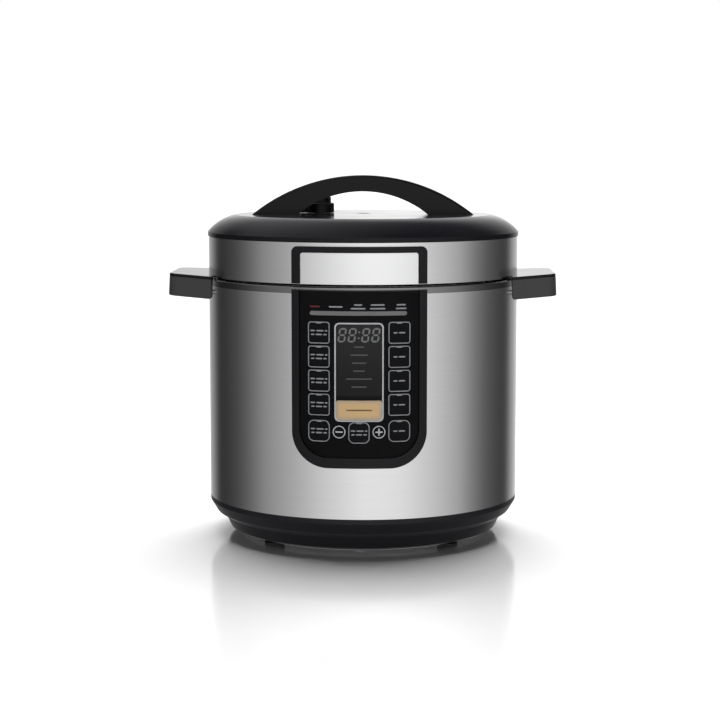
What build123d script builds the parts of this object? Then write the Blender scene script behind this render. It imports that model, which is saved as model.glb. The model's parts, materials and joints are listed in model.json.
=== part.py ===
from build123d import *
import math
import os

# Electric pressure cooker with a turning lid, millimetres, +Z up.
# The origin is on the cooker's axis in the plane of its feet; the front faces -Y.

# ---- Overall sizes ----
BODY_R = 140.0          # outer radius of the steel wrapper
FOOT_H = 3.0            # height of a foot under the base
BASE_TOP = 35.3         # height of the joint between base and wrapper
SHELL_H = 192.1         # height of the steel wrapper
COLLAR_H = 5.8          # height of the dark ring above the wrapper
LID_GAP = 2.3           # open joint between collar and lid
BAND_H = 35.0           # height of the lid's steel band
LID_RISE = 19.2         # from the band's top edge to the lid's flat top
ARCH_RISE = 35.4        # from the lid's flat top to the top of its handle

# ---- Sheets, walls and clearances ----
SHEET = 0.8             # steel wrapper and band
WALL = 2.5              # moulded walls
FIT = 0.3               # gap between pieces that move apart
RUN = 0.05              # radial running clearance of a pin or shaft
SLACK = 0.2             # gap between pieces fixed to each other

# ---- Pots and bayonet ----
POT_SPACE = 30.0        # from the removable pot's inside to the wrapper's outside
POT_T = 1.2             # wall of the removable pot
POT_FLOOR = 3.0         # its bonded base
POT_CORNER = 12.0       # radius between its wall and floor
POT_RIM_W = 6.3         # how far its rim stands out
LINER_GAP = 2.8         # between the pot and the outer pot
LINER_T = 1.5           # wall of the outer pot
LINER_FLOOR_Z = 42.0    # underside of the outer pot
THROAT_W = 12.0         # widening of the outer pot above the pot's rim
LUG_COUNT = 6
LUG_ROOT = 0.2          # rim left between the outer pot's lugs
LUG_REACH = 4.5         # how far each bayonet lug stands in
FLANGE_LUG_DEG = 28.0
LID_LUG_DEG = 26.0
LID_PLATE_T = 1.5
LID_RIM_W = 14.0        # flat rim of the lid plate that the seal presses on
DOME_BORDER = 24.0      # from the lid plate's edge to its flat middle
DOME_RISE = 13.4
DOME_KNEE_W = 7.0       # first, gentler part of the slope: its width
DOME_KNEE_H = 3.0       # and its height
SEAL_H = 7.5
SEAL_W = 12.5
SEAL_GAP = 2.0          # from the bayonet lugs to the seal
SEAL_WALL = 1.7
SEAL_SPINE = 4.0
SEAL_WIRE_R = 1.5

# ---- Heater and sensor ----
PLATE_INSET = 14.0      # from the pot's inside wall to the plate's edge
PLATE_T = 12.2
PLATE_BORE_R = 13.0
SUPPORT_R = 5.0
SUPPORT_H = 6.0
SUPPORT_RING_R = 60.0
SENSOR_R = 12.0
SENSOR_CAP_H = 4.0
SENSOR_STEM_R = 3.5
HOLDER_R = 22.0
HOLDER_T = 1.5
SPRING_R = 6.0
SPRING_WIRE_R = 0.7
SPRING_TURNS = 5

# ---- Control panel ----
PANEL_PROUD = 2.6       # how far the frame stands out of the wrapper
FRAME_W = 6.4           # width of the frame
FRAME_FOOT_W = 8.7      # its width below the face
FRAME_TOP_W = 0.7       # its width above the face
FRAME_LIP = 3.0         # part of the frame's width that doesn't pass through the wrapper
FRAME_LIP_D = 4.0       # how far the rest reaches into the body
FACE_PROUD = 1.2        # how far the panel's face stands out of the wrapper
FACE_T = 2.0
PANEL_OVERLAP = 3.6     # how far the frame rises over the collar
PANEL_CORNER = 31.0     # radius of the frame's lower corners
LABEL_H = 28.0          # from the frame's top edge to the display's top edge
KEY_W = 18.8
KEY_H = 18.9
KEY_GAP = 1.5
KEY_CORNER = 2.2
KEY_SOFT_CORNER = 5.0
KEY_PROUD = 0.2         # how far a key stands out of the panel's face
KEY_T = 4.0
KEY_STEM_R = 2.5
KEY_TRAVEL = 0.5
KEY_ROWS = 4
BOTTOM_DROP = 2.0       # extra gap above the bottom row of keys
ROUND_KEY_R = 5.6
CENTRE_KEY_W = 18.4
CENTRE_KEY_H = 18.6
CENTRE_KEY_DROP = 1.2   # how far it sits below the keys beside it
ROUND_KEY_DROP = 0.6
DISPLAY_W = 40.4
COLUMN_GAP = 4.4        # from the display's edge to the keys beside it
PANEL_MARGIN = 7.6      # from the outer keys to the frame
BOTTOM_MARGIN = 13.6    # from the bottom keys to the frame
MAIN_KEY_W = 39.0
MAIN_KEY_H = 16.8
BOARD_DROP = 17.2       # from the frame's top edge to the board's
BOARD_T = 1.6
BOARD_DEPTH = 14.0      # from the wrapper's front to the face of the board
BOARD_INSET = 7.0       # from the face's edge to the board's
SWITCH_W = 6.0
SWITCH_H = 3.5
STANDOFF_R = 3.0
STANDOFF_INSET = 13.0   # from the face's edge to a standoff's middle

# ---- Lid ----
LIP_PROUD = 1.0         # how far the lid's rim stands out over the band
LIP_H = 3.6
SHOULDER_W = 24.0       # from the wrapper's radius to the lid's flat top
SKIRT_T = 2.4
BADGE_BOTTOM = 2.8      # from the collar's top edge up to the badge
BADGE_H = 26.1
BADGE_SIDE = 7.2        # width of its frame at the sides
BADGE_BORDER = 5.4
BADGE_PROUD = 1.6
ARCH_HALF = 100.0       # half length of the lid's handle
ARCH_INNER_HALF = 59.0
ARCH_SCREW_H = 6.0      # depth of a screw hole in its foot
ARCH_T = 14.5
ARCH_TOP_T = 5.5        # thickness of the upper half of the handle
ARCH_D = 35.0           # depth of the handle, front to back
ARCH_EDGE = 3.0
BOSS_R = 5.0
SCREW_R = 2.0
SCREW_HEAD_R = 3.8
SCREW_HEAD_H = 2.0
VALVE_X = -41.0
VALVE_SPACE = 2.1       # from the lid's handle to the valve knob
KNOB_R = 13.4
KNOB_CAP_R = 10.5
KNOB_SKIRT_H = 9.0
KNOB_H = 14.8
LEVER_L = 21.5          # from the knob's axis to its lever's end
LEVER_W = 11.0
PIPE_R = 4.0
PIPE_BORE_R = 1.5
NUT_W = 14.0
NUT_H = 4.0
SHIELD_R = 14.0
SHIELD_H = 12.0
FLOAT_Y = 20.0
FLOAT_HOLE_R = 6.5
FLOAT_HEAD_R = 5.5
FLOAT_HEAD_H = 7.0
FLOAT_PIN_R = 3.0
FLOAT_DEPTH = 4.7       # from the lid's flat top down to the float's head
FLOAT_TRAVEL = 4.5
FLOAT_SEAL_R = 6.0
FLOAT_SEAL_H = 3.0

# ---- Collar ----
COLLAR_LAP = 2.0        # how far its ledge lies below the wrapper's top edge
COLLAR_SKIRT = 16.0     # and how far its skirt does
COLLAR_LAND = 5.0       # width of its flat top
GUTTER_D = 2.5          # depth of its drip gutter
COLLAR_EDGE = 0.6

# ---- Side handles ----
GRIP_REACH = 33.3       # how far a side handle stands out of the wrapper
GRIP_ROOT = 60.0        # half depth at its inner end
GRIP_INSET = 7.0        # how far its flat inner end lies inside the wrapper's radius
GRIP_TIP = 40.6         # half depth at its outer edge
GRIP_H = 20.0
GRIP_ABOVE = 9.5        # how far its top is above the wrapper's top edge
GRIP_WALL = 3.5
GRIP_CORNER = 14.0
GRIP_TILT = 2.8         # degrees, outer edge up
CAP_T = 2.7
GRIP_EDGE = 1.2
GRIP_BOSS_Y = 34.0
GRIP_BOSS_W = 9.0
GRIP_BOSS_L = 10.0      # how far a screw boss reaches from the wrapper
GRIP_SCREW_DROP = 6.5   # from the wrapper's top edge to a screw's middle

# ---- Rear cup and power inlet ----
CUP_W = 56.0
CUP_D = 26.0
CUP_H = 45.0
CUP_WALL = 1.6
CUP_DROP = 23.0         # from the wrapper's top edge to the cup's rim
CUP_FLANGE = 4.2
CUP_FLANGE_T = 2.0
BRACKET_T = 3.5
RAIL_W = 6.6
RAIL_H = 8.0
INLET_Z = 20.0
INLET_W = 30.0
INLET_H = 22.0
INLET_BACK = 2.0        # thickness behind its cavity
INLET_PROUD = 1.5       # how far its boss stands out of the wrapper's radius
INLET_FLANGE = 2.0
INLET_FLANGE_T = 1.5
CAVITY_W = 24.2
CAVITY_H = 16.6
CAVITY_D = 17.0
CAVITY_BEVEL = 4.0
BLADE_W = 2.0
BLADE_H = 4.0
BLADE_L = 19.0
BLADE_PITCH = 7.0
BLADE_STEP = 2.0        # blades above and below the inlet's middle
BLADE_RECESS = 2.0
INLET_BOSS_W = 38.0
INLET_BOSS_D = 22.0     # from the base's outer radius inwards

# ---- Base ----
FOOT_R = 9.0
FOOT_INSET = 32.0       # from the wrapper's radius to a foot's middle
FOOT_STEM_R = 3.0
FOOT_STEM_H = 5.0
BASE_SCREW_INSET = 20.0 # from the pot's inside wall to a base screw
BASE_SCREW_DEGREES = (30, 150, 270)
UPSTAND_H = 12.7        # the base's rim inside the wrapper
SLOT_COUNT = 12
SLOT_W = 3.0
SLOT_L = 20.0
SLOT_RING_R = 51.0
PCB_L = 60.0
PCB_W = 84.0
PCB_Z = 12.0
PCB_INSET = 6.0
TRANSFORMER = (30.0, 26.0, 21.0)
RELAY = (20.0, 16.0, 16.0)
CAPACITOR_R = 6.0
CAPACITOR_H = 14.0
PRESSURE_SWITCH = (22.0, 22.0, 14.0)
PRESSURE_SWITCH_X = 46.0
FUSE_R = 3.0
FUSE_L = 26.0
FUSE_X = 30.0
FUSE_Y = -45.0
# Bowl of the base: (inset from the wrapper's radius, share of the base's height), from the floor up outside
# and down again inside.
BOWL_OUTSIDE = ((28.0, 0.0), (21.5, 0.06), (18.0, 0.12), (13.6, 0.415), (5.6, 0.58), (0.0, 0.866))
BOWL_INSIDE = ((7.4, 0.645), (15.4, 0.47), (20.2, 0.165))
BOWL_CORNER = 28.5      # inset of the inside corner at the floor

# ---- Heights and radii that follow from the above ----
SHELL_TOP = BASE_TOP + SHELL_H
COLLAR_TOP = SHELL_TOP + COLLAR_H
BAND_LOW = COLLAR_TOP + LID_GAP
BAND_TOP = BAND_LOW + BAND_H
PLATEAU_Z = BAND_TOP + LID_RISE
FLOOR_TOP = FOOT_H + WALL
SKIRT_R = BODY_R - SHEET - FIT
POT_R = BODY_R - POT_SPACE
LINER_R = POT_R + POT_T + LINER_GAP
LINER_OUT_R = LINER_R + LINER_T
THROAT_R = LINER_R + THROAT_W
THROAT_OUT_R = THROAT_R + LINER_T
LUG_IN_R = THROAT_R - LUG_REACH
FLANGE_TOP = COLLAR_TOP + 0.1
FLANGE_LOW = FLANGE_TOP - LINER_T
FLANGE_OUT_R = THROAT_OUT_R + WALL
LID_RIM_R = LUG_IN_R - 1.0
LID_LUG_R = THROAT_R - LUG_ROOT - FIT
LID_RIM_TOP = FLANGE_LOW - 0.5
DOME_R = LID_RIM_R - DOME_BORDER
SEAL_R = LUG_IN_R - SEAL_GAP
LID_RIM_LOW = LID_RIM_TOP - LID_PLATE_T
SEAL_TOP = LID_RIM_LOW - FIT
SEAL_LOW = SEAL_TOP - SEAL_H
POT_RIM_TOP = SEAL_LOW - FIT
POT_RIM_LOW = POT_RIM_TOP - POT_T
SHELF_TOP = POT_RIM_LOW - FIT
SHELF_LOW = SHELF_TOP - LINER_T
LINER_FLOOR_TOP = LINER_FLOOR_Z + LINER_T
PLATE_R = POT_R - PLATE_INSET
PLATE_LOW = LINER_FLOOR_TOP + SUPPORT_H
PLATE_TOP = PLATE_LOW + PLATE_T
POT_BOTTOM = PLATE_TOP + FIT
DOME_LOW = LID_RIM_LOW + DOME_RISE
DOME_TOP = DOME_LOW + LID_PLATE_T
PANEL_TOP = SHELL_TOP + PANEL_OVERLAP
DISPLAY_TOP = PANEL_TOP - LABEL_H
KEY_PITCH = KEY_H + KEY_GAP
KEY_X = DISPLAY_W / 2 + COLUMN_GAP + KEY_W / 2
TOP_KEY_Z = DISPLAY_TOP + KEY_GAP - KEY_H / 2
BOTTOM_KEY_Z = TOP_KEY_Z - KEY_ROWS * KEY_PITCH - BOTTOM_DROP
CENTRE_KEY_Z = BOTTOM_KEY_Z - CENTRE_KEY_DROP
ROUND_KEY_X = (KEY_X - KEY_W / 2 + CENTRE_KEY_W / 2) / 2
MAIN_KEY_Z = CENTRE_KEY_Z + CENTRE_KEY_H / 2 + KEY_GAP + MAIN_KEY_H / 2
DISPLAY_LOW = MAIN_KEY_Z + MAIN_KEY_H / 2 + KEY_GAP
FACE_HALF_W = KEY_X + KEY_W / 2 + PANEL_MARGIN
PANEL_HALF_W = FACE_HALF_W + FRAME_W
BADGE_HALF_W = PANEL_HALF_W - BADGE_SIDE
STANDOFF_X = FACE_HALF_W - STANDOFF_INSET
FACE_LOW = BOTTOM_KEY_Z - KEY_H / 2 - BOTTOM_MARGIN
PANEL_LOW = FACE_LOW - FRAME_FOOT_W
FACE_CORNER = PANEL_CORNER - FRAME_W
FACE_R = BODY_R + FACE_PROUD
FACE_TOP = PANEL_TOP - FRAME_TOP_W
BOARD_Y = BODY_R - BOARD_DEPTH
VALVE_Z = PLATEAU_Z + FIT
VALVE_Y = ARCH_D / 2 + VALVE_SPACE + KNOB_R
GRIP_TOP = SHELL_TOP + GRIP_ABOVE
GRIP_LOW = GRIP_TOP - GRIP_H
GRIP_SCREW_Z = SHELL_TOP - GRIP_SCREW_DROP
CUP_TOP = SHELL_TOP - CUP_DROP
CUP_BACK = BODY_R + BRACKET_T + FIT
INLET_FACE = BODY_R + INLET_PROUD
FOOT_RING_R = BODY_R - FOOT_INSET
BASE_SCREW_RING_R = POT_R - BASE_SCREW_INSET
PCB_X = 1 + BOSS_R + PCB_L / 2 - BASE_SCREW_RING_R * math.cos(math.radians(BASE_SCREW_DEGREES[0]))
PLATEAU_R = BODY_R - SHOULDER_W
ARCH_SPLIT_HALF = ARCH_HALF - 3 * ARCH_TOP_T
LID_SCREW_X = (ARCH_SPLIT_HALF + ARCH_INNER_HALF) / 2

BOTTOM = (Align.CENTER, Align.CENTER, Align.MIN)


def rod(radius, z_low, z_high, x=0.0, y=0.0):
    """An upright cylinder."""
    return Pos(x, y, z_low) * Cylinder(radius, z_high - z_low, align=BOTTOM)


def tube(r_in, r_out, z_low, z_high, x=0.0, y=0.0):
    """An upright tube."""
    return rod(r_out, z_low, z_high, x, y) - rod(r_in, z_low, z_high, x, y)


def block(x_low, x_high, y_low, y_high, z_low, z_high):
    """A box between two corners."""
    centre = Pos((x_low + x_high) / 2, (y_low + y_high) / 2, (z_low + z_high) / 2)
    return centre * Box(x_high - x_low, y_high - y_low, z_high - z_low)


def turned(*points):
    """A closed outline of (radius, height) points turned about the axis."""
    return revolve(Plane.XZ * make_face(Polyline(*points, close=True)), Axis.Z)


def turned_outline(*edges):
    """A closed outline of lines and arcs in (radius, height) turned about the axis."""
    return revolve(Plane.XZ * make_face(edges), Axis.Z)


def seen_from_front(outline):
    """A front-view outline pushed from the axis out through the front."""
    return extrude(Plane.XZ * outline, amount=BODY_R + 4 * PANEL_PROUD)


def wrapped(outline, r_in, r_out):
    """The part of a front-view outline that lies between two radii."""
    return seen_from_front(outline) & tube(r_in, r_out, 0, PLATEAU_Z)


def front_rectangle(x, z, width, height, corner):
    """A rounded rectangle in the front view."""
    return Pos(x, z) * RectangleRounded(width, height, corner)


def tongue(half_w, z_low, z_high, corner):
    """A front-view rectangle whose two lower corners are round."""
    sheet = Pos(0, (z_low + z_high) / 2) * Rectangle(2 * half_w, z_high - z_low)
    return fillet(sheet.vertices().sort_by(Axis.Y)[:2], corner)


def arch(half_w, z_low, z_high, corner):
    """A front-view rectangle whose two upper corners are round."""
    sheet = Pos(0, (z_low + z_high) / 2) * Rectangle(2 * half_w, z_high - z_low)
    return fillet(sheet.vertices().sort_by(Axis.Y)[-2:], corner)


def around(piece, radius, count, start=0.0):
    """Copies of a piece made at the axis, spread on a circle."""
    return [Rot(0, 0, start + k * 360 / count) * Pos(radius, 0, 0) * piece for k in range(count)]


def sector(r_in, r_out, z_low, z_high, degrees, middle):
    """A piece of ring, as wide as an angle, about a middle direction."""
    ring = Rot(0, 0, middle - degrees / 2) * Pos(0, 0, z_low) * Cylinder(
        r_out, z_high - z_low, arc_size=degrees, align=(Align.NONE, Align.NONE, Align.MIN))
    return ring - rod(r_in, z_low, z_high)


# ---- Base ----

def base_screw_places():
    """Where the three screws stand that hold the base to the outer pot."""
    turns = [math.radians(a) for a in BASE_SCREW_DEGREES]
    return [(BASE_SCREW_RING_R * math.cos(a), BASE_SCREW_RING_R * math.sin(a)) for a in turns]


def pcb_corners():
    """Where the four standoffs of the power board stand."""
    half_l = PCB_L / 2 - PCB_INSET
    half_w = PCB_W / 2 - PCB_INSET
    return [(PCB_X + i * half_l, j * half_w) for i in (-1, 1) for j in (-1, 1)]


def base_bowl():
    """The moulded bowl: flat floor, flared wall and the rim inside the wrapper."""
    rise = BASE_TOP - FOOT_H
    outside = [(BODY_R - inset, FOOT_H + share * rise) for inset, share in BOWL_OUTSIDE]
    inside = [(BODY_R - inset, FOOT_H + share * rise) for inset, share in BOWL_INSIDE]
    rim = [(BODY_R, BASE_TOP), (SKIRT_R, BASE_TOP), (SKIRT_R, BASE_TOP + UPSTAND_H),
           (SKIRT_R - WALL, BASE_TOP + UPSTAND_H), (SKIRT_R - WALL, BASE_TOP - WALL)]
    floor = [(BODY_R - BOWL_CORNER, FLOOR_TOP), (0, FLOOR_TOP)]
    return turned((0, FOOT_H), *outside, *rim, *inside, *floor)


def base_housing():
    """The black base with its screw bosses, standoffs, vents and inlet boss."""
    half = INLET_BOSS_W / 2
    bowl = base_bowl() + block(-half, half, BODY_R - INLET_BOSS_D, INLET_FACE, FLOOR_TOP, BASE_TOP)
    for x, y in base_screw_places():
        bowl += rod(BOSS_R, FLOOR_TOP, LINER_FLOOR_Z, x, y)
        bowl -= rod(SCREW_R + SLACK, FOOT_H, LINER_FLOOR_Z, x, y)
        bowl -= rod(SCREW_HEAD_R + SLACK, FOOT_H, FOOT_H + SCREW_HEAD_H + SLACK, x, y)
    for x, y in pcb_corners():
        bowl += rod(STANDOFF_R, FLOOR_TOP, PCB_Z, x, y)
    for stem in around(rod(FOOT_STEM_R + RUN, FOOT_H, FLOOR_TOP), FOOT_RING_R, 4, 45):
        bowl -= stem
    for slot in around(block(-SLOT_L / 2, SLOT_L / 2, -SLOT_W / 2, SLOT_W / 2, FOOT_H, FLOOR_TOP),
                       SLOT_RING_R, SLOT_COUNT, 15):
        bowl -= slot
    return bowl - inlet_hole()


def inlet_hole():
    """The opening in the base's inlet boss."""
    half_w = INLET_W / 2 + SLACK
    half_h = INLET_H / 2 + SLACK
    return block(-half_w, half_w, BODY_R - INLET_BOSS_D - 1, INLET_FACE + 1,
                 INLET_Z - half_h, INLET_Z + half_h)


def feet():
    """Four round rubber feet with stems through the base's floor."""
    pad = rod(FOOT_R, 0, FOOT_H)
    pad = fillet(pad.edges().sort_by(Axis.Z)[0], 1.0)
    foot = pad + rod(FOOT_STEM_R, FOOT_H, FOOT_H + FOOT_STEM_H)
    return Compound(around(foot, FOOT_RING_R, 4, 45))


def base_screws():
    """Three long screws from the base's floor up into the outer pot."""
    screws = []
    for x, y in base_screw_places():
        head = rod(SCREW_HEAD_R, FOOT_H + SLACK, FOOT_H + SCREW_HEAD_H, x, y)
        screws.append(head + rod(SCREW_R, FOOT_H + SCREW_HEAD_H, LINER_FLOOR_TOP + 1, x, y))
    return Compound(screws)


def power_board():
    """The mains board on the base's standoffs."""
    return block(PCB_X - PCB_L / 2, PCB_X + PCB_L / 2, -PCB_W / 2, PCB_W / 2, PCB_Z, PCB_Z + BOARD_T)


def power_components():
    """Transformer, relay and two capacitors on the mains board."""
    top = PCB_Z + BOARD_T
    transformer = Pos(PCB_X, -PCB_W / 6, top) * Box(*TRANSFORMER, align=BOTTOM)
    relay = Pos(PCB_X, PCB_W / 6, top) * Box(*RELAY, align=BOTTOM)
    reach = PCB_L / 3
    can = rod(CAPACITOR_R, top, top + CAPACITOR_H, PCB_X, PCB_W / 6)
    capacitors = [Pos(side * reach, 0, 0) * can for side in (-1, 1)]
    return Compound([transformer, relay, *capacitors])


def blade_places():
    """Centres of the three inlet blades: earth below, line and neutral above."""
    low = INLET_Z - BLADE_STEP
    high = INLET_Z + BLADE_STEP
    return [(0, low), (-BLADE_PITCH, high), (BLADE_PITCH, high)]


def inlet_pins():
    """The three flat contact blades of the power inlet."""
    tip = INLET_FACE + INLET_FLANGE_T - BLADE_RECESS
    half_w = BLADE_W / 2
    half_h = BLADE_H / 2
    return Compound([block(x - half_w, x + half_w, tip - BLADE_L, tip, z - half_h, z + half_h)
                     for x, z in blade_places()])


def inlet_socket():
    """The recessed power inlet with two bevelled corners."""
    face = INLET_FACE + INLET_FLANGE_T
    body = block(-INLET_W / 2, INLET_W / 2, face - CAVITY_D - INLET_BACK, INLET_FACE,
                 INLET_Z - INLET_H / 2, INLET_Z + INLET_H / 2)
    half_w = INLET_W / 2 + INLET_FLANGE
    half_h = INLET_H / 2 + INLET_FLANGE
    body += block(-half_w, half_w, INLET_FACE, face, INLET_Z - half_h, INLET_Z + half_h)
    mouth = Pos(0, INLET_Z) * Rectangle(CAVITY_W, CAVITY_H)
    mouth = chamfer(mouth.vertices().sort_by(Axis.Y)[:2], CAVITY_BEVEL)
    cavity = Pos(0, face, 0) * extrude(Plane.XZ * mouth, amount=CAVITY_D)
    body -= cavity
    for blade in inlet_pins().solids():
        body -= blade
    return body


# ---- Body ----

def panel_cutout(clearance):
    """The opening in the wrapper that the panel's frame passes through."""
    half = PANEL_HALF_W - FRAME_LIP - clearance
    return tongue(half, PANEL_LOW + FRAME_LIP + clearance, SHELL_TOP - COLLAR_LAP - clearance,
                  PANEL_CORNER - FRAME_LIP - clearance)


def grip_screw_places():
    """Side and depth of the four screws that hold the side handles."""
    return [(side, depth) for side in (-1, 1) for depth in (-GRIP_BOSS_Y, GRIP_BOSS_Y)]


def grip_screw_hole(side, depth):
    """A clearance hole for one side-handle screw."""
    hole = Rot(0, 90, 0) * Cylinder(SCREW_R + SLACK, BODY_R / 5)
    return Pos(side * (BODY_R - 8), depth, GRIP_SCREW_Z) * hole


def body_shell():
    """The brushed steel wrapper, open where the panel goes through."""
    shell = tube(BODY_R - SHEET, BODY_R, BASE_TOP, SHELL_TOP)
    shell -= seen_from_front(panel_cutout(0))
    for side, depth in grip_screw_places():
        shell -= grip_screw_hole(side, depth)
    return shell


def collar_ring():
    """The dark ring on the wrapper with its drip gutter and inner skirt."""
    ledge = FLANGE_OUT_R + 0.5
    throat = THROAT_OUT_R + SLACK
    gutter = COLLAR_TOP - GUTTER_D
    step = SHELL_TOP - COLLAR_LAP
    hem = SHELL_TOP - COLLAR_SKIRT
    ring = turned(
        (BODY_R, SHELL_TOP), (BODY_R, COLLAR_TOP - COLLAR_EDGE), (BODY_R - COLLAR_EDGE, COLLAR_TOP),
        (BODY_R - COLLAR_LAND, COLLAR_TOP), (BODY_R - COLLAR_LAND - 1, gutter), (ledge, gutter),
        (ledge, FLANGE_LOW), (throat, FLANGE_LOW), (throat, step), (SKIRT_R - WALL, step),
        (SKIRT_R - WALL, hem), (SKIRT_R, hem), (SKIRT_R, SHELL_TOP))
    ring -= seen_from_front(Pos(0, (step + hem) / 2) * Rectangle(2 * PANEL_HALF_W, step - hem))
    for side, depth in grip_screw_places():
        ring -= grip_screw_hole(side, depth)
    return ring


def grip_plan(inset):
    """Plan of the right side handle, drawn smaller by an inset."""
    root = BODY_R - GRIP_INSET + inset
    tip = BODY_R + GRIP_REACH - inset
    plan = make_face(Polyline(
        (root, -GRIP_ROOT + inset), (tip, -GRIP_TIP + inset),
        (tip, GRIP_TIP - inset), (root, GRIP_ROOT - inset), close=True))
    return fillet(plan.vertices().sort_by(Axis.X)[-2:], GRIP_CORNER - inset)


def tilted(piece):
    """A side-handle piece turned so that its outer edge rises."""
    hinge = Pos(BODY_R, 0, (GRIP_TOP + GRIP_LOW) / 2)
    return hinge * Rot(0, -GRIP_TILT, 0) * hinge.inverse() * piece


def side_handle():
    """The right handle: a deep shell, open below, with two screw bosses."""
    top = GRIP_TOP - CAP_T
    grip = extrude(Pos(0, 0, GRIP_LOW) * grip_plan(0), amount=top - GRIP_LOW)
    grip = fillet(grip.edges().group_by(Axis.Z)[0], GRIP_EDGE)
    room = extrude(Pos(0, 0, GRIP_LOW - 1) * grip_plan(GRIP_WALL), amount=top - GRIP_LOW + 1 - GRIP_WALL)
    room -= rod(BODY_R + GRIP_WALL, GRIP_LOW - 5, GRIP_TOP + 5)
    for depth in (-GRIP_BOSS_Y, GRIP_BOSS_Y):
        room -= block(BODY_R - GRIP_ROOT / 2, BODY_R + GRIP_BOSS_L, depth - GRIP_BOSS_W / 2,
                      depth + GRIP_BOSS_W / 2, GRIP_LOW, GRIP_TOP)
    grip = tilted(grip - room)
    grip -= rod(BODY_R, GRIP_LOW - 10, GRIP_TOP + 10)
    for depth in (-GRIP_BOSS_Y, GRIP_BOSS_Y):
        grip -= Pos(BODY_R - 8, depth, GRIP_SCREW_Z) * Rot(0, 90, 0) * Cylinder(SCREW_R, 38)
    return grip


def side_handle_cap():
    """The right handle's top plate."""
    plate = extrude(Pos(0, 0, GRIP_TOP - CAP_T) * grip_plan(0), amount=CAP_T)
    plate = fillet(plate.edges().group_by(Axis.Z)[-1], 1.0)
    return tilted(plate) - rod(BODY_R, GRIP_LOW - 10, GRIP_TOP + 10)


def mirrored(piece):
    """The same piece on the cooker's other side."""
    return mirror(piece, Plane.YZ)


def side_handle_screws():
    """Four screws from inside the wrapper into the side handles."""
    screws = []
    for side, depth in grip_screw_places():
        seat = math.sqrt((SKIRT_R - WALL) ** 2 - (abs(depth) + SCREW_HEAD_R) ** 2) - SLACK
        head = Pos(seat - SCREW_HEAD_H / 2, depth, GRIP_SCREW_Z) * Rot(0, 90, 0) * Cylinder(
            SCREW_HEAD_R, SCREW_HEAD_H)
        shank = Pos(seat + 8, depth, GRIP_SCREW_Z) * Rot(0, 90, 0) * Cylinder(SCREW_R - 0.02, 16)
        screw = head + shank
        screws.append(screw if side > 0 else mirrored(screw))
    return Compound(screws)


# ---- Pots and heater ----

def flange_lug_middle(k):
    """Direction of one bayonet lug of the outer pot."""
    return k * 360 / LUG_COUNT


def outer_pot():
    """The liner that holds the pot, with the inward bayonet lugs at its mouth."""
    pot = turned(
        (HOLDER_R - 6, LINER_FLOOR_Z), (LINER_OUT_R - 3, LINER_FLOOR_Z), (LINER_OUT_R, LINER_FLOOR_Z + 3),
        (LINER_OUT_R, SHELF_LOW), (THROAT_OUT_R, SHELF_LOW), (THROAT_OUT_R, FLANGE_LOW),
        (FLANGE_OUT_R, FLANGE_LOW), (FLANGE_OUT_R, FLANGE_TOP),
        (LUG_IN_R, FLANGE_TOP), (LUG_IN_R, FLANGE_LOW),
        (THROAT_R, FLANGE_LOW), (THROAT_R, SHELF_TOP), (LINER_R, SHELF_TOP), (LINER_R, LINER_FLOOR_TOP + 2),
        (LINER_R - 2, LINER_FLOOR_TOP), (HOLDER_R - 6, LINER_FLOOR_TOP))
    gap_deg = 360 / LUG_COUNT - FLANGE_LUG_DEG
    for k in range(LUG_COUNT):
        middle = flange_lug_middle(k) + 180 / LUG_COUNT
        pot -= sector(LUG_IN_R - 1, THROAT_R - LUG_ROOT, FLANGE_LOW - 1, FLANGE_TOP + 1, gap_deg, middle)
    for x, y in base_screw_places():
        pot -= rod(SCREW_R + RUN, LINER_FLOOR_Z - 1, LINER_FLOOR_TOP + 1, x, y)
    return pot


def heating_plate():
    """The cast plate that the pot stands on, with three feet and the sensor's bore."""
    plate = tube(PLATE_BORE_R, PLATE_R, PLATE_LOW, PLATE_TOP)
    rim = plate.edges().filter_by(GeomType.CIRCLE).sort_by(SortBy.RADIUS)[-2:]
    plate = fillet(rim, 3.0)
    groove = turned((PLATE_R - 34, PLATE_LOW), (PLATE_R - 18, PLATE_LOW), (PLATE_R - 20, PLATE_LOW + 3),
                    (PLATE_R - 32, PLATE_LOW + 3))
    plate -= groove
    for leg in around(rod(SUPPORT_R, LINER_FLOOR_TOP, PLATE_LOW), SUPPORT_RING_R, 3, 90):
        plate += leg
    return plate


def temperature_sensor():
    """The sprung sensor: a cap flush with the plate on a stem."""
    cap = rod(SENSOR_R, PLATE_TOP - SENSOR_CAP_H, PLATE_TOP)
    cap = fillet(cap.edges().sort_by(Axis.Z)[-1], 0.8)
    return cap + rod(SENSOR_STEM_R, LINER_FLOOR_Z - 6, PLATE_TOP - SENSOR_CAP_H)


def sensor_holder():
    """The flanged guide of the sensor's stem under the outer pot."""
    return tube(SENSOR_STEM_R + RUN, HOLDER_R, LINER_FLOOR_Z - HOLDER_T, LINER_FLOOR_Z)


def sensor_spring():
    """The coil spring between the guide and the sensor's cap."""
    low = LINER_FLOOR_Z + SPRING_WIRE_R
    high = PLATE_TOP - SENSOR_CAP_H - SPRING_WIRE_R
    height = high - low
    path = Pos(0, 0, low) * Helix(pitch=height / SPRING_TURNS, height=height, radius=SPRING_R)
    wire = Plane(origin=path @ 0, z_dir=path % 0) * Circle(SPRING_WIRE_R)
    return sweep(wire, path=path, is_frenet=True)


def pressure_switch():
    """The pressure switch under the outer pot."""
    return Pos(PRESSURE_SWITCH_X, 0, LINER_FLOOR_Z - PRESSURE_SWITCH[2]) * Box(*PRESSURE_SWITCH, align=BOTTOM)


def thermal_fuse():
    """The thermal fuse clipped under the outer pot."""
    return Pos(FUSE_X, FUSE_Y, LINER_FLOOR_Z - FUSE_R) * Rot(0, 90, 0) * Cylinder(FUSE_R, FUSE_L)


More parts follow.
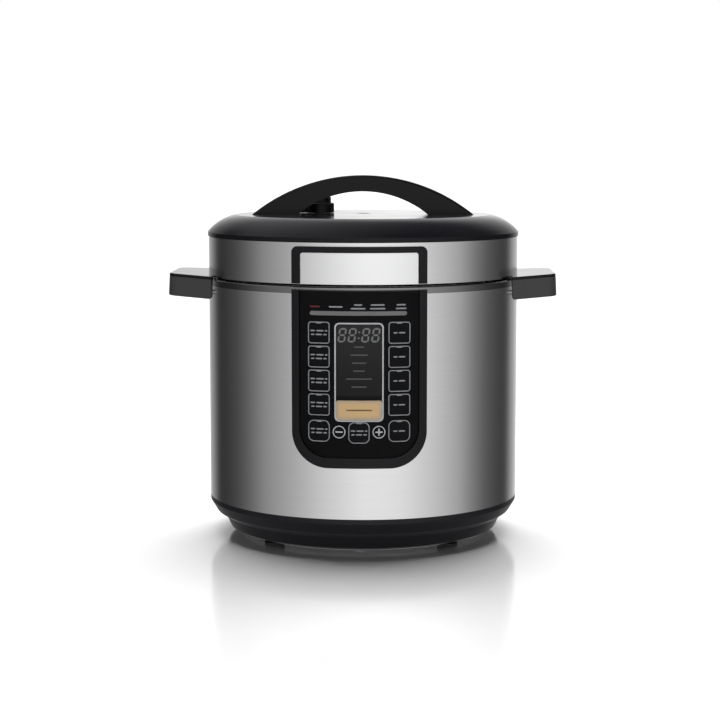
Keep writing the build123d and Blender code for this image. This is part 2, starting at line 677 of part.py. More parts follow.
def inner_pot():
    """The removable pot with a flat rim."""
    out = POT_R + POT_T
    rim = out + POT_RIM_W
    floor = POT_BOTTOM + POT_FLOOR
    corner = POT_BOTTOM + POT_CORNER
    drop = POT_CORNER * (1 - math.sqrt(0.5))
    return turned_outline(
        Line((0, POT_BOTTOM), (out - POT_CORNER, POT_BOTTOM)),
        ThreePointArc((out - POT_CORNER, POT_BOTTOM), (out - drop, POT_BOTTOM + drop), (out, corner)),
        Line((out, corner), (out, POT_RIM_LOW)),
        Line((out, POT_RIM_LOW), (rim, POT_RIM_LOW)),
        Line((rim, POT_RIM_LOW), (rim, POT_RIM_TOP)),
        Line((rim, POT_RIM_TOP), (POT_R, POT_RIM_TOP)),
        Line((POT_R, POT_RIM_TOP), (POT_R, floor + POT_CORNER)),
        ThreePointArc((POT_R, floor + POT_CORNER), (POT_R - drop, floor + drop), (POT_R - POT_CORNER, floor)),
        Line((POT_R - POT_CORNER, floor), (0, floor)),
        Line((0, floor), (0, POT_BOTTOM)))


def sealing_ring():
    """The silicone ring, with an inward groove for its wire."""
    lip = SEAL_R - SEAL_W
    spine = SEAL_R - SEAL_SPINE
    under = SEAL_TOP - SEAL_WALL
    over = SEAL_LOW + SEAL_WALL
    return turned(
        (SEAL_R, SEAL_LOW), (SEAL_R, SEAL_TOP), (lip, SEAL_TOP), (lip, under), (spine, under), (spine, over),
        (lip + SEAL_WALL, over), (lip + SEAL_WALL, SEAL_LOW))


def seal_wire_ring():
    """The wire hoop inside the sealing ring's groove."""
    return Pos(0, 0, SEAL_LOW + SEAL_H / 2) * Torus(SEAL_R - SEAL_SPINE - SEAL_WIRE_R - SLACK, SEAL_WIRE_R)


# ---- Control panel ----

def panel_frame():
    """The frame around the panel: a raised border with a lip through the wrapper."""
    border = tongue(PANEL_HALF_W, PANEL_LOW, PANEL_TOP, PANEL_CORNER)
    hole = tongue(FACE_HALF_W, FACE_LOW, FACE_TOP, FACE_CORNER)
    frame = wrapped(border - hole, BODY_R, BODY_R + PANEL_PROUD)
    lip = panel_cutout(SLACK) - hole
    return frame + wrapped(lip, BODY_R - FRAME_LIP_D, BODY_R)


def key_places():
    """Name, front-view outline of each key and its middle, in reading order."""
    places = {}
    for side, label in ((-1, "left"), (1, "right")):
        for row in range(KEY_ROWS):
            z = TOP_KEY_Z - row * KEY_PITCH
            places[f"key_{label}_{row + 1}"] = (side * KEY_X, z, KEY_W, KEY_H, KEY_CORNER)
        places[f"key_bottom_{label}"] = (side * KEY_X, BOTTOM_KEY_Z, KEY_W, KEY_H, KEY_SOFT_CORNER)
    places["key_bottom_centre"] = (0, CENTRE_KEY_Z, CENTRE_KEY_W, CENTRE_KEY_H, KEY_SOFT_CORNER)
    places["key_main"] = (0, MAIN_KEY_Z, MAIN_KEY_W, MAIN_KEY_H, KEY_CORNER)
    round_z = BOTTOM_KEY_Z - ROUND_KEY_DROP
    for side, label in ((-1, "minus"), (1, "plus")):
        places[f"key_{label}"] = (side * ROUND_KEY_X, round_z, 2 * ROUND_KEY_R, 2 * ROUND_KEY_R, 0)
    return places


def key_outline(place, grow):
    """A key's front-view outline, made larger all round."""
    x, z, width, height, corner = place
    if corner == 0:
        return Pos(x, z) * Circle(width / 2 + grow)
    return front_rectangle(x, z, width + 2 * grow, height + 2 * grow, corner + grow)


def display_outline(grow):
    """The display window's front-view outline, made larger all round."""
    middle = (DISPLAY_TOP + DISPLAY_LOW) / 2
    return front_rectangle(0, middle, DISPLAY_W + 2 * grow, DISPLAY_TOP - DISPLAY_LOW + 2 * grow, 2.0 + grow)


def board_heights():
    """The lowest and highest edge of the control board."""
    return FACE_LOW + STANDOFF_R + 2, PANEL_TOP - BOARD_DROP


def strut(x, z, radius, out_radius, depth):
    """A round strut straight back from a curved skin to a flat depth."""
    post = seen_from_front(Pos(x, z) * Circle(radius)) & rod(out_radius, 0, PLATEAU_Z)
    return post & block(-BODY_R, BODY_R, -2 * BODY_R, -depth, 0, PLATEAU_Z)


def panel_face():
    """The glossy front plate with its windows and the board's standoffs."""
    outline = tongue(FACE_HALF_W - SLACK, FACE_LOW + SLACK, FACE_TOP - SLACK, FACE_CORNER - SLACK)
    outline -= display_outline(0.1)
    for place in key_places().values():
        outline -= key_outline(place, FIT)
    face = wrapped(outline, BODY_R, FACE_R)
    face += wrapped(outline & panel_cutout(SLACK), FACE_R - FACE_T, BODY_R)
    low, high = board_heights()
    for x in (-STANDOFF_X, STANDOFF_X):
        for z in (low + STANDOFF_R, high - STANDOFF_R):
            face += strut(x, z, STANDOFF_R, FACE_R - FACE_T / 2, BOARD_Y)
    return face


def display_window():
    """The smoked lens over the display."""
    return wrapped(display_outline(0), FACE_R - FACE_T, FACE_R)


def control_board():
    """The flat board behind the panel's face."""
    low, high = board_heights()
    half = FACE_HALF_W - BOARD_INSET
    return block(-half, half, -BOARD_Y, -BOARD_Y + BOARD_T, low, high)


def display_module():
    """The display behind its window, on the control board."""
    half = DISPLAY_W / 2 - 2
    front = math.sqrt((FACE_R - FACE_T) ** 2 - half ** 2) - SLACK
    return block(-half, half, -front, -BOARD_Y, DISPLAY_LOW + 2, DISPLAY_TOP - 2)


def key_switches():
    """One small push switch on the board behind each key."""
    switches = []
    half = SWITCH_W / 2
    for x, z, *_ in key_places().values():
        case = block(x - half, x + half, -BOARD_Y - SWITCH_H + 1, -BOARD_Y, z - half, z + half)
        plunger = Pos(x, -BOARD_Y - SWITCH_H + 0.5, z) * Rot(90, 0, 0) * Cylinder(1.7, 1.0)
        switches.append(case + plunger)
    return Compound(switches)


def key(place):
    """A key: a cap that follows the panel's curve, with a stem to its switch."""
    x, z, *_ = place
    outer = FACE_R + KEY_PROUD
    cap = wrapped(key_outline(place, 0), outer - KEY_T, outer)
    cap = fillet(front_edges(cap, outer), 0.3)
    return cap + strut(x, z, KEY_STEM_R, outer - KEY_T / 2, BOARD_Y + SWITCH_H + KEY_TRAVEL + SLACK)


def front_edges(piece, radius):
    """The edges that lie on the cylinder of one radius."""
    return [e for e in piece.edges() if abs(math.hypot((e @ 0.5).X, (e @ 0.5).Y) - radius) < 0.01]


# ---- Rear cup ----

def cup_bracket():
    """The holder on the wrapper's back with its two rails."""
    half = CUP_W / 2
    flange_z = CUP_TOP - CUP_FLANGE_T / 2
    plate = block(-half + 2, half - 2, BODY_R - 20, BODY_R + BRACKET_T, CUP_TOP - CUP_H + 6, CUP_TOP + 12)
    holder = plate + block(-half - RAIL_W, half + RAIL_W, BODY_R - 20, BODY_R + BRACKET_T,
                           flange_z - RAIL_H / 2, flange_z + RAIL_H / 2)
    holder -= rod(BODY_R, 0, PLATEAU_Z)
    for side in (-1, 1):
        x_in = half + 0.4
        x_out = half + RAIL_W
        rail = block(x_in, x_out, BODY_R + BRACKET_T, CUP_BACK + CUP_D,
                     flange_z - RAIL_H / 2, flange_z + RAIL_H / 2)
        channel = block(0, half + CUP_FLANGE + 0.4, BODY_R + BRACKET_T, CUP_BACK + CUP_D + 1,
                        flange_z - CUP_FLANGE_T / 2 - 0.4, flange_z + CUP_FLANGE_T / 2 + 0.4)
        rail = rail - channel
        holder += rail if side > 0 else mirrored(rail)
    return holder


def condensate_cup():
    """The clear drip cup, open on top, with two side flanges."""
    half = CUP_W / 2
    outer = block(-half, half, CUP_BACK, CUP_BACK + CUP_D, CUP_TOP - CUP_H, CUP_TOP)
    outer = fillet(outer.edges().filter_by(Axis.Z).sort_by(Axis.Y)[-2:], 8)
    outer = fillet(outer.edges().group_by(Axis.Z)[0], 3)
    room = block(-half + CUP_WALL, half - CUP_WALL, CUP_BACK + CUP_WALL, CUP_BACK + CUP_D - CUP_WALL,
                 CUP_TOP - CUP_H + CUP_WALL, CUP_TOP + 1)
    room = fillet(room.edges().filter_by(Axis.Z).sort_by(Axis.Y)[-2:], 8 - CUP_WALL)
    flange = block(-half - CUP_FLANGE, half + CUP_FLANGE, CUP_BACK, CUP_BACK + CUP_D - 10,
                   CUP_TOP - CUP_FLANGE_T, CUP_TOP)
    return outer + flange - room


# ---- Lid ----

def lid_cover():
    """The black lid cover: rounded shoulder, flat top, skirt and screw bosses."""
    lip = BODY_R + LIP_PROUD
    lip_top = BAND_TOP + 0.5 + LIP_H
    inner_lip = SKIRT_R - SKIRT_T
    skin = turned_outline(
        Line((lip, BAND_TOP + 0.5), (lip, lip_top)),
        ThreePointArc((lip, lip_top), shoulder_point(0), (PLATEAU_R, PLATEAU_Z)),
        Line((PLATEAU_R, PLATEAU_Z), (0, PLATEAU_Z)),
        Line((0, PLATEAU_Z), (0, PLATEAU_Z - WALL)),
        Line((0, PLATEAU_Z - WALL), (PLATEAU_R - 1, PLATEAU_Z - WALL)),
        ThreePointArc((PLATEAU_R - 1, PLATEAU_Z - WALL), shoulder_point(WALL), (inner_lip, lip_top)),
        Line((inner_lip, lip_top), (inner_lip, BAND_LOW + 0.5)),
        Line((inner_lip, BAND_LOW + 0.5), (SKIRT_R, BAND_LOW + 0.5)),
        Line((SKIRT_R, BAND_LOW + 0.5), (SKIRT_R, BAND_TOP + 0.5)),
        Line((SKIRT_R, BAND_TOP + 0.5), (lip, BAND_TOP + 0.5)))
    for x in (-LID_SCREW_X, LID_SCREW_X):
        skin += rod(BOSS_R, DOME_TOP, PLATEAU_Z - WALL, x)
        skin -= rod(SCREW_R + SLACK, DOME_TOP, PLATEAU_Z, x)
    skin -= rod(PIPE_R + 3, PLATEAU_Z - WALL, PLATEAU_Z, VALVE_X, VALVE_Y)
    return skin - rod(FLOAT_HOLE_R, PLATEAU_Z - WALL, PLATEAU_Z, 0, FLOAT_Y)


def shoulder_point(inset):
    """A point on the lid's rounded shoulder, moved in by an inset."""
    lip = BODY_R + LIP_PROUD
    lip_top = BAND_TOP + 0.5 + LIP_H
    x = lip - 0.376 * (lip - PLATEAU_R) - 0.62 * inset
    return x, lip_top + 0.57 * (PLATEAU_Z - lip_top) - 0.78 * inset


def lid_band():
    """The brushed steel band around the lid."""
    return tube(BODY_R - SHEET, BODY_R, BAND_LOW, BAND_TOP)


def badge_heights():
    """Bottom of the badge, top of its plate and top of its frame."""
    low = COLLAR_TOP + BADGE_BOTTOM
    return low, low + BADGE_H, low + BADGE_H + BADGE_BORDER


def badge_frame():
    """The black frame around the badge plate."""
    low, plate_top, top = badge_heights()
    border = arch(PANEL_HALF_W, low, top, 5.0)
    border -= arch(BADGE_HALF_W + SLACK, low, plate_top + SLACK, 2.5)
    return wrapped(border, BODY_R, BODY_R + PANEL_PROUD)


def badge_plate():
    """The blank metal plate in its frame."""
    low, plate_top, _ = badge_heights()
    return wrapped(arch(BADGE_HALF_W, low, plate_top, 2.3), BODY_R, BODY_R + BADGE_PROUD)


def bow(half, rise):
    """An arc over the lid's flat top."""
    return ThreePointArc((-half, PLATEAU_Z), (0, PLATEAU_Z + rise), (half, PLATEAU_Z))


def bow_slab(half, rise):
    """The solid under an arc, as deep as the handle."""
    outline = make_face([bow(half, rise), Line((-half, PLATEAU_Z), (half, PLATEAU_Z))])
    return Pos(0, ARCH_D / 2, 0) * extrude(Plane.XZ * outline, amount=ARCH_D)


def lid_handle_top():
    """The handle's upper shell, an arch with rounded edges."""
    shell = bow_slab(ARCH_HALF, ARCH_RISE) - bow_slab(ARCH_SPLIT_HALF, ARCH_RISE - ARCH_TOP_T)
    rims = [e for e in shell.edges() if e.geom_type == GeomType.CIRCLE and e.radius > rim_radius() - 1]
    return fillet(rims, ARCH_EDGE)


def rim_radius():
    """Radius of the handle's outer arc."""
    return (ARCH_HALF ** 2 + ARCH_RISE ** 2) / (2 * ARCH_RISE)


def lid_handle_base():
    """The handle's lower shell with its two feet."""
    shell = bow_slab(ARCH_SPLIT_HALF, ARCH_RISE - ARCH_TOP_T) - bow_slab(ARCH_INNER_HALF, ARCH_RISE - ARCH_T)
    for x in (-LID_SCREW_X, LID_SCREW_X):
        shell -= rod(SCREW_R, PLATEAU_Z, PLATEAU_Z + ARCH_SCREW_H, x)
    return shell


def lid_handle_screws():
    """Two long screws that clamp lid plate, cover and handle."""
    screws = []
    for x in (-LID_SCREW_X, LID_SCREW_X):
        head = rod(SCREW_HEAD_R, DOME_LOW - SCREW_HEAD_H, DOME_LOW, x)
        screws.append(head + rod(SCREW_R - 0.02, DOME_LOW, PLATEAU_Z + ARCH_SCREW_H - 1, x))
    return Compound(screws)


def pressure_lid():
    """The domed steel plate with outward bayonet lugs."""
    foot = LID_RIM_R - LID_RIM_W
    knee = DOME_R + DOME_KNEE_W
    knee_z = DOME_LOW - DOME_KNEE_H
    lean = 0.8 * LID_PLATE_T
    plate = turned(
        (0, DOME_LOW), (DOME_R, DOME_LOW), (knee, knee_z), (foot, LID_RIM_LOW), (LID_RIM_R, LID_RIM_LOW),
        (LID_RIM_R, LID_RIM_TOP), (foot + lean, LID_RIM_TOP), (knee + lean, knee_z + lean),
        (DOME_R + lean / 2, DOME_TOP), (0, DOME_TOP))
    for k in range(LUG_COUNT):
        middle = flange_lug_middle(k) + 180 / LUG_COUNT
        plate += sector(LID_RIM_R - 2, LID_LUG_R, LID_RIM_LOW, LID_RIM_TOP, LID_LUG_DEG, middle)
    for x in (-LID_SCREW_X, LID_SCREW_X):
        plate -= rod(SCREW_R + SLACK, DOME_LOW, DOME_TOP, x)
    plate -= rod(PIPE_R + RUN, DOME_LOW, DOME_TOP, VALVE_X, VALVE_Y)
    return plate - rod(FLOAT_PIN_R + RUN, DOME_LOW, DOME_TOP, 0, FLOAT_Y)


def vent_pipe():
    """The steam pipe, flanged below the lid plate, up into the valve knob."""
    pipe = rod(PIPE_R, DOME_LOW, VALVE_Z + KNOB_SKIRT_H, VALVE_X, VALVE_Y)
    pipe += rod(NUT_W / 2, DOME_LOW - 3, DOME_LOW, VALVE_X, VALVE_Y)
    return pipe - rod(PIPE_BORE_R, DOME_LOW - 3, VALVE_Z + KNOB_SKIRT_H, VALVE_X, VALVE_Y)


def vent_pipe_nut():
    """The hexagon nut that holds the steam pipe."""
    blank = extrude(Pos(VALVE_X, VALVE_Y, DOME_TOP) * RegularPolygon(NUT_W / 2, 6), amount=NUT_H)
    return blank - rod(PIPE_R + RUN, DOME_TOP, DOME_TOP + NUT_H, VALVE_X, VALVE_Y)


def vent_shield():
    """The slotted cap that keeps food out of the steam pipe."""
    low = DOME_LOW - SHIELD_H
    cup = rod(SHIELD_R, low, DOME_LOW, VALVE_X, VALVE_Y)
    cup -= rod(SHIELD_R - 1, low + 1, DOME_LOW, VALVE_X, VALVE_Y)
    for k in range(6):
        cut = block(0, SHIELD_R + 1, -1.5, 1.5, low + 3, low + 8)
        cup -= Pos(VALVE_X, VALVE_Y, 0) * Rot(0, 0, 60 * k) * cut
    return cup


def steam_valve_knob():
    """The steam valve's knob: a wide skirt with a lever, and a narrower cap."""
    top = VALVE_Z + KNOB_H
    skirt = rod(KNOB_R, VALVE_Z, VALVE_Z + KNOB_SKIRT_H, VALVE_X, VALVE_Y)
    half = LEVER_W / 2
    skirt += rod(half, VALVE_Z, VALVE_Z + KNOB_SKIRT_H, VALVE_X - LEVER_L + half, VALVE_Y)
    skirt += block(VALVE_X - LEVER_L + half, VALVE_X, VALVE_Y - half, VALVE_Y + half,
                   VALVE_Z, VALVE_Z + KNOB_SKIRT_H)
    skirt = fillet(skirt.faces().sort_by(Axis.Z)[-1].edges(), 1.5)
    cap = rod(KNOB_CAP_R, VALVE_Z + KNOB_SKIRT_H - 1, top, VALVE_X, VALVE_Y)
    cap = fillet(cap.edges().sort_by(Axis.Z)[-1], 1.5)
    knob = skirt + cap
    return knob - rod(PIPE_R + RUN, VALVE_Z, VALVE_Z + KNOB_SKIRT_H + 1, VALVE_X, VALVE_Y)


def float_guide():
    """The tube between lid plate and cover that guides the float."""
    top = PLATEAU_Z - FLOAT_DEPTH - FLOAT_HEAD_H - FIT
    return tube(FLOAT_PIN_R + RUN, FLOAT_HEAD_R + 2, DOME_TOP, top, 0, FLOAT_Y)


def float_pin():
    """The float: a pin with a head that rises flush with the lid."""
    head_top = PLATEAU_Z - FLOAT_DEPTH
    head = rod(FLOAT_HEAD_R, head_top - FLOAT_HEAD_H, head_top, 0, FLOAT_Y)
    return head + rod(FLOAT_PIN_R, float_seal_top() - FLOAT_SEAL_H, head_top - FLOAT_HEAD_H, 0, FLOAT_Y)


def float_seal_top():
    """Height of the float seal's upper face at rest."""
    return DOME_LOW - FLOAT_TRAVEL - FIT


def float_seal():
    """The silicone seal on the float's lower end."""
    top = float_seal_top()
    return tube(FLOAT_PIN_R, FLOAT_SEAL_R, top - FLOAT_SEAL_H, top, 0, FLOAT_Y)


def build():
    """Every node of the cooker by name."""
    grip = side_handle()
    cap = side_handle_cap()
    nodes = {
        "base_housing": base_housing(), "feet": feet(), "base_screws": base_screws(),
        "power_board": power_board(), "power_components": power_components(),
        "inlet_socket": inlet_socket(), "inlet_pins": inlet_pins(),
        "body_shell": body_shell(), "collar_ring": collar_ring(),
        "side_handle_right": grip, "side_handle_left": mirrored(grip),
        "side_handle_caps": Compound([cap, mirrored(cap)]),
        "side_handle_screws": side_handle_screws(),
        "outer_pot": outer_pot(), "heating_plate": heating_plate(),
        "temperature_sensor": temperature_sensor(), "sensor_holder": sensor_holder(),
        "sensor_spring": sensor_spring(),
        "pressure_switch": pressure_switch(), "thermal_fuse": thermal_fuse(),
        "inner_pot": inner_pot(), "sealing_ring": sealing_ring(), "seal_wire_ring": seal_wire_ring(),
        "panel_frame": panel_frame(), "panel_face": panel_face(), "display_window": display_window(),
        "control_board": control_board(), "display_module": display_module(),
        "key_switches": key_switches(),
        "cup_bracket": cup_bracket(), "condensate_cup": condensate_cup(),
        "lid_cover": lid_cover(), "lid_band": lid_band(),
        "badge_frame": badge_frame(), "badge_plate": badge_plate(),
        "lid_handle_top": lid_handle_top(), "lid_handle_base": lid_handle_base(),
        "lid_handle_screws": lid_handle_screws(), "pressure_lid": pressure_lid(), "vent_pipe": vent_pipe(),
        "vent_pipe_nut": vent_pipe_nut(), "vent_shield": vent_shield(),
        "steam_valve_knob": steam_valve_knob(),
        "float_guide": float_guide(), "float_pin": float_pin(), "float_seal": float_seal(),
    }
    for name, place in key_places().items():
        nodes[name] = key(place)
    return nodes


os.makedirs("parts", exist_ok=True)
for node, solid in build().items():
    export_step(solid, f"parts/{node}.step")
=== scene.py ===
"""The looks of an electric pressure cooker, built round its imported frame. Lengths are metres."""

import json
import logging
import math
from dataclasses import dataclass, field
from enum import Enum

import bpy
import numpy as np
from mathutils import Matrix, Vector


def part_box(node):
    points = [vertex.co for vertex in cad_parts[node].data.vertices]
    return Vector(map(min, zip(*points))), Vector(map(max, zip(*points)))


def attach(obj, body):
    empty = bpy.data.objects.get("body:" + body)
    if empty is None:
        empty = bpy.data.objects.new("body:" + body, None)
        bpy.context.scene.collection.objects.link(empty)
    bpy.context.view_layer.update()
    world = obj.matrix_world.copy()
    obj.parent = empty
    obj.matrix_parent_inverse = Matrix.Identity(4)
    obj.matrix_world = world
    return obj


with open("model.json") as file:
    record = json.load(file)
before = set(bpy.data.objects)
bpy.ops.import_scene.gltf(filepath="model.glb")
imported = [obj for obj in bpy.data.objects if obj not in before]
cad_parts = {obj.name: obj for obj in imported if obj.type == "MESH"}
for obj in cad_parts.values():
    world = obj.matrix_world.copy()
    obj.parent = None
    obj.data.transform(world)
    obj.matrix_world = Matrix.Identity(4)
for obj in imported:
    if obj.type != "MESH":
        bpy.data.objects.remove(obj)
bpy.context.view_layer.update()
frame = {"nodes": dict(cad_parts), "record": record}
LOG = logging.getLogger("cooker")

Number = float | int
Colour = tuple[float, float, float]
Stops = tuple[tuple[float, float], ...]
Bars = tuple[tuple[float, float, float, float], ...]
Dashes = tuple[tuple[float, tuple[float, ...]], ...]
BLACK: Colour = (0.0, 0.0, 0.0)
WHITE: Colour = (1.0, 1.0, 1.0)
SMOOTH_DEG = 40.0       # edges sharper than this stay hard
ARC_PARTS = 8           # parts of a rounded corner
INK_LIFT = 0.00004      # how far a print stands off what it is on


class Slot(Enum):
    """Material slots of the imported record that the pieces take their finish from."""

    GLOSS_BLACK = "gloss_black"
    SMOKED_GLOSS = "smoked_gloss"
    SATIN_BLACK = "satin_black"
    BRUSHED_STEEL = "brushed_steel"
    BADGE_METAL = "badge_metal"
    LID_STEEL = "lid_steel"
    POT_METAL = "pot_metal"
    LINER_METAL = "liner_metal"
    PANEL_BLACK = "panel_black"
    SMOKED_LENS = "smoked_lens"
    DISPLAY_GREY = "display_grey"
    KEY_BLACK = "key_black"
    KEY_GOLD = "key_gold"
    FOOT_RUBBER = "foot_rubber"
    SILICONE = "silicone"
    CLEAR_PLASTIC = "clear_plastic"
    BOARD_GREEN = "board_green"
    PART_PLASTIC = "part_plastic"
    BRASS = "brass"
    ZINC = "zinc"


class Symbol(Enum):
    """What is printed in the middle of a key."""

    LABEL = "label"
    MINUS = "minus"
    PLUS = "plus"
    GOLD = "gold"


# ---- Shader graphs ----

class Wire:
    """A shader socket that can be used in arithmetic."""

    def __init__(self, graph: "Graph", socket: bpy.types.NodeSocket) -> None:
        """Keeps a socket and the graph that it belongs to."""
        self.graph = graph
        self.socket = socket

    def __add__(self, other: "Wire | Number") -> "Wire":
        """This plus another."""
        return self.graph.maths("ADD", self, other)

    def __radd__(self, other: Number) -> "Wire":
        """A number plus this."""
        return self.graph.maths("ADD", other, self)

    def __sub__(self, other: "Wire | Number") -> "Wire":
        """This minus another."""
        return self.graph.maths("SUBTRACT", self, other)

    def __rsub__(self, other: Number) -> "Wire":
        """A number minus this."""
        return self.graph.maths("SUBTRACT", other, self)

    def __mul__(self, other: "Wire | Number") -> "Wire":
        """This times another."""
        return self.graph.maths("MULTIPLY", self, other)

    def __rmul__(self, other: Number) -> "Wire":
        """A number times this."""
        return self.graph.maths("MULTIPLY", other, self)

    def __truediv__(self, other: "Wire | Number") -> "Wire":
        """This divided by another."""
        return self.graph.maths("DIVIDE", self, other)

    def __rtruediv__(self, other: Number) -> "Wire":
        """A number divided by this."""
        return self.graph.maths("DIVIDE", other, self)


class Graph:
    """The node tree of one material or world."""

    def __init__(self, tree: bpy.types.NodeTree) -> None:
        """Takes over an empty node tree.

        Args:
            tree: the tree of a material or world, whose nodes are removed.
        """
        self.tree = tree
        tree.nodes.clear()

    def node(self, kind: str, settings: dict | None = None, sockets: dict | None = None) -> bpy.types.Node:
        """Adds one node.

        Args:
            kind: the node's type, such as ShaderNodeMath.
            settings: attributes set before anything else.
            sockets: value or Wire for inputs, by name or place.

        Returns:
            The new node.
        """
        made = self.tree.nodes.new(kind)
        for name, value in (settings or {}).items():
            setattr(made, name, value)
        for key, value in (sockets or {}).items():
            if isinstance(value, Wire):
                self.tree.links.new(value.socket, made.inputs[key])
            else:
                made.inputs[key].default_value = value
        return made

    def out(self, made: bpy.types.Node, key: str | int = 0) -> Wire:
        """One output of a node as a Wire."""
        return Wire(self, made.outputs[key])

    def maths(self, operation: str, *values: "Wire | Number") -> Wire:
        """A Math node of any operation."""
        made = self.node("ShaderNodeMath", {"operation": operation}, dict(enumerate(values)))
        return self.out(made)

    def clamp(self, value: Wire) -> Wire:
        """A value kept between 0 and 1."""
        return self.out(self.node("ShaderNodeClamp", None, {0: value}))

    def vector_maths(self, operation: str, first: Wire, second: "Wire | Colour") -> Wire:
        """A Vector Math node of two vectors."""
        return self.out(self.node("ShaderNodeVectorMath", {"operation": operation}, {0: first, 1: second}))

    def position(self) -> Wire:
        """The point being shaded, in the piece's own coordinates."""
        return self.out(self.node("ShaderNodeTexCoord"), "Object")

    def parts_of(self, vector: Wire) -> tuple[Wire, Wire, Wire]:
        """The three numbers of a vector."""
        made = self.node("ShaderNodeSeparateXYZ", None, {0: vector})
        return self.out(made, 0), self.out(made, 1), self.out(made, 2)

    def noise(self, vector: Wire, scale: Colour | Number, detail: float = 2.0) -> Wire:
        """Soft noise, stretched by a scale on each axis.

        Args:
            vector: where the noise is read.
            scale: cycles per metre, one number or one for each axis.
            detail: how many finer layers are added.

        Returns:
            Noise between 0 and 1, mostly about a half.
        """
        factors = scale if isinstance(scale, tuple) else (scale, scale, scale)
        place = self.vector_maths("MULTIPLY", vector, factors)
        made = self.node("ShaderNodeTexNoise", None, {"Vector": place, "Scale": 1.0, "Detail": detail})
        return self.out(made, "Fac")

    def cells(self, vector: Wire, scale: float) -> Wire:
        """Distance to the nearest of scattered points, 0 at a point."""
        made = self.node("ShaderNodeTexVoronoi", None, {"Vector": vector, "Scale": scale})
        return self.out(made, "Distance")

    def span(self, value: Wire, low: float, high: float, to_low: float = 0.0, to_high: float = 1.0) -> Wire:
        """A value carried from one range to another, with smooth ends.

        Args:
            value: the value to carry.
            low: value that becomes to_low.
            high: value that becomes to_high.
            to_low: result at and below low.
            to_high: result at and above high.

        Returns:
            The carried value.
        """
        made = self.node("ShaderNodeMapRange", {"interpolation_type": "SMOOTHSTEP"},
                         {0: value, 1: low, 2: high, 3: to_low, 4: to_high})
        return self.out(made)

    def mix(self, factor: "Wire | Number", first: "Wire | Colour", second: "Wire | Colour") -> Wire:
        """A colour between two colours.

        Args:
            factor: 0 for the first colour, 1 for the second.
            first: a colour or a wire.
            second: a colour or a wire.

        Returns:
            The mixed colour.
        """
        ends = [c if isinstance(c, Wire) else (*c, 1.0) for c in (first, second)]
        made = self.node("ShaderNodeMix", {"data_type": "RGBA"}, {0: factor, 6: ends[0], 7: ends[1]})
        return self.out(made, 2)

    def bump(self, height: Wire, depth: float, strength: float = 1.0) -> Wire:
        """A normal tilted by a height of 0 to 1, that is depth metres deep."""
        made = self.node("ShaderNodeBump", None, {"Height": height, "Distance": depth, "Strength": strength})
        return self.out(made)

    def surface(self, sockets: dict) -> None:
        """Ends the graph in a Principled shader with these inputs."""
        shader = self.node("ShaderNodeBsdfPrincipled", None, sockets)
        self.node("ShaderNodeOutputMaterial", None, {"Surface": self.out(shader)})


@dataclass(frozen=True)
class Finish:
    """What a surface is made of. Each kind of finish says how it is painted."""

    name: str

    def paint(self, graph: Graph) -> None:
        """Fills a material's graph; each kind of finish has its own.

        Args:
            graph: the material's graph, filled here.
        """
        raise NotImplementedError

    def material(self) -> bpy.types.Material:
        """The finish as a Blender material, made once.

        Returns:
            The material of this finish's name.
        """
        found = bpy.data.materials.get(self.name)
        if found is not None:
            return found
        made = bpy.data.materials.new(self.name)
        made.use_nodes = True
        self.paint(Graph(made.node_tree))
        return made


@dataclass(frozen=True)
class BrushedSteel(Finish):
    """Stainless sheet with fine grain running round the body."""

    colour: Colour = (0.84, 0.838, 0.842)
    shade: Colour = (0.77, 0.768, 0.772)
    roughness: float = 0.2
    spread: float = 0.07
    grain_length: float = 0.045
    grain_height: float = 0.00035
    grain_depth: float = 0.00002
    smudge_scale: float = 14.0

    def paint(self, graph: Graph) -> None:
        """Long thin streaks: slow noise across, fast noise in height.

        Args:
            graph: the material's graph, filled here.
        """
        place = graph.position()
        along = 1 / self.grain_length
        streaks = graph.noise(place, (along, along, 1 / self.grain_height), 3.0)
        wide = graph.noise(place, (along / 2, along / 2, 0.14 / self.grain_height), 2.0)
        smudge = graph.noise(place, self.smudge_scale, 3.0)
        tone = graph.clamp(streaks * 0.7 + wide * 0.5 - 0.1)
        rough = (streaks - 0.5) * self.spread + (smudge - 0.5) * 0.05 + self.roughness
        graph.surface({
            "Base Color": graph.mix(tone, self.shade, self.colour), "Metallic": 1.0, "Roughness": rough,
            "Normal": graph.bump(streaks + wide * 0.5, self.grain_depth, 0.35)})


@dataclass(frozen=True)
class SpunMetal(Finish):
    """Metal polished on a lathe: fine rings about the cooker's axis."""

    colour: Colour = (0.62, 0.62, 0.62)
    shade: Colour = (0.50, 0.50, 0.505)
    roughness: float = 0.24
    ring_width: float = 0.0006
    ring_depth: float = 0.00003
    stain_scale: float = 30.0

    def paint(self, graph: Graph) -> None:
        """Noise read along the distance from the axis plus the height.

        Args:
            graph: the material's graph, filled here.
        """
        place = graph.position()
        x, y, z = graph.parts_of(place)
        reach = graph.maths("SQRT", x * x + y * y)
        along = (reach + z) / self.ring_width
        lathe = graph.node("ShaderNodeTexNoise", {"noise_dimensions": "1D"}, {"W": along, "Detail": 3.0})
        rings = graph.out(lathe, "Fac")
        stain = graph.noise(place, self.stain_scale, 4.0)
        tone = graph.clamp(rings * 0.8 + stain * 0.4 - 0.1)
        graph.surface({
            "Base Color": graph.mix(tone, self.shade, self.colour), "Metallic": 1.0,
            "Roughness": (stain - 0.5) * 0.12 + (rings - 0.5) * 0.08 + self.roughness,
            "Normal": graph.bump(rings, self.ring_depth, 0.4)})


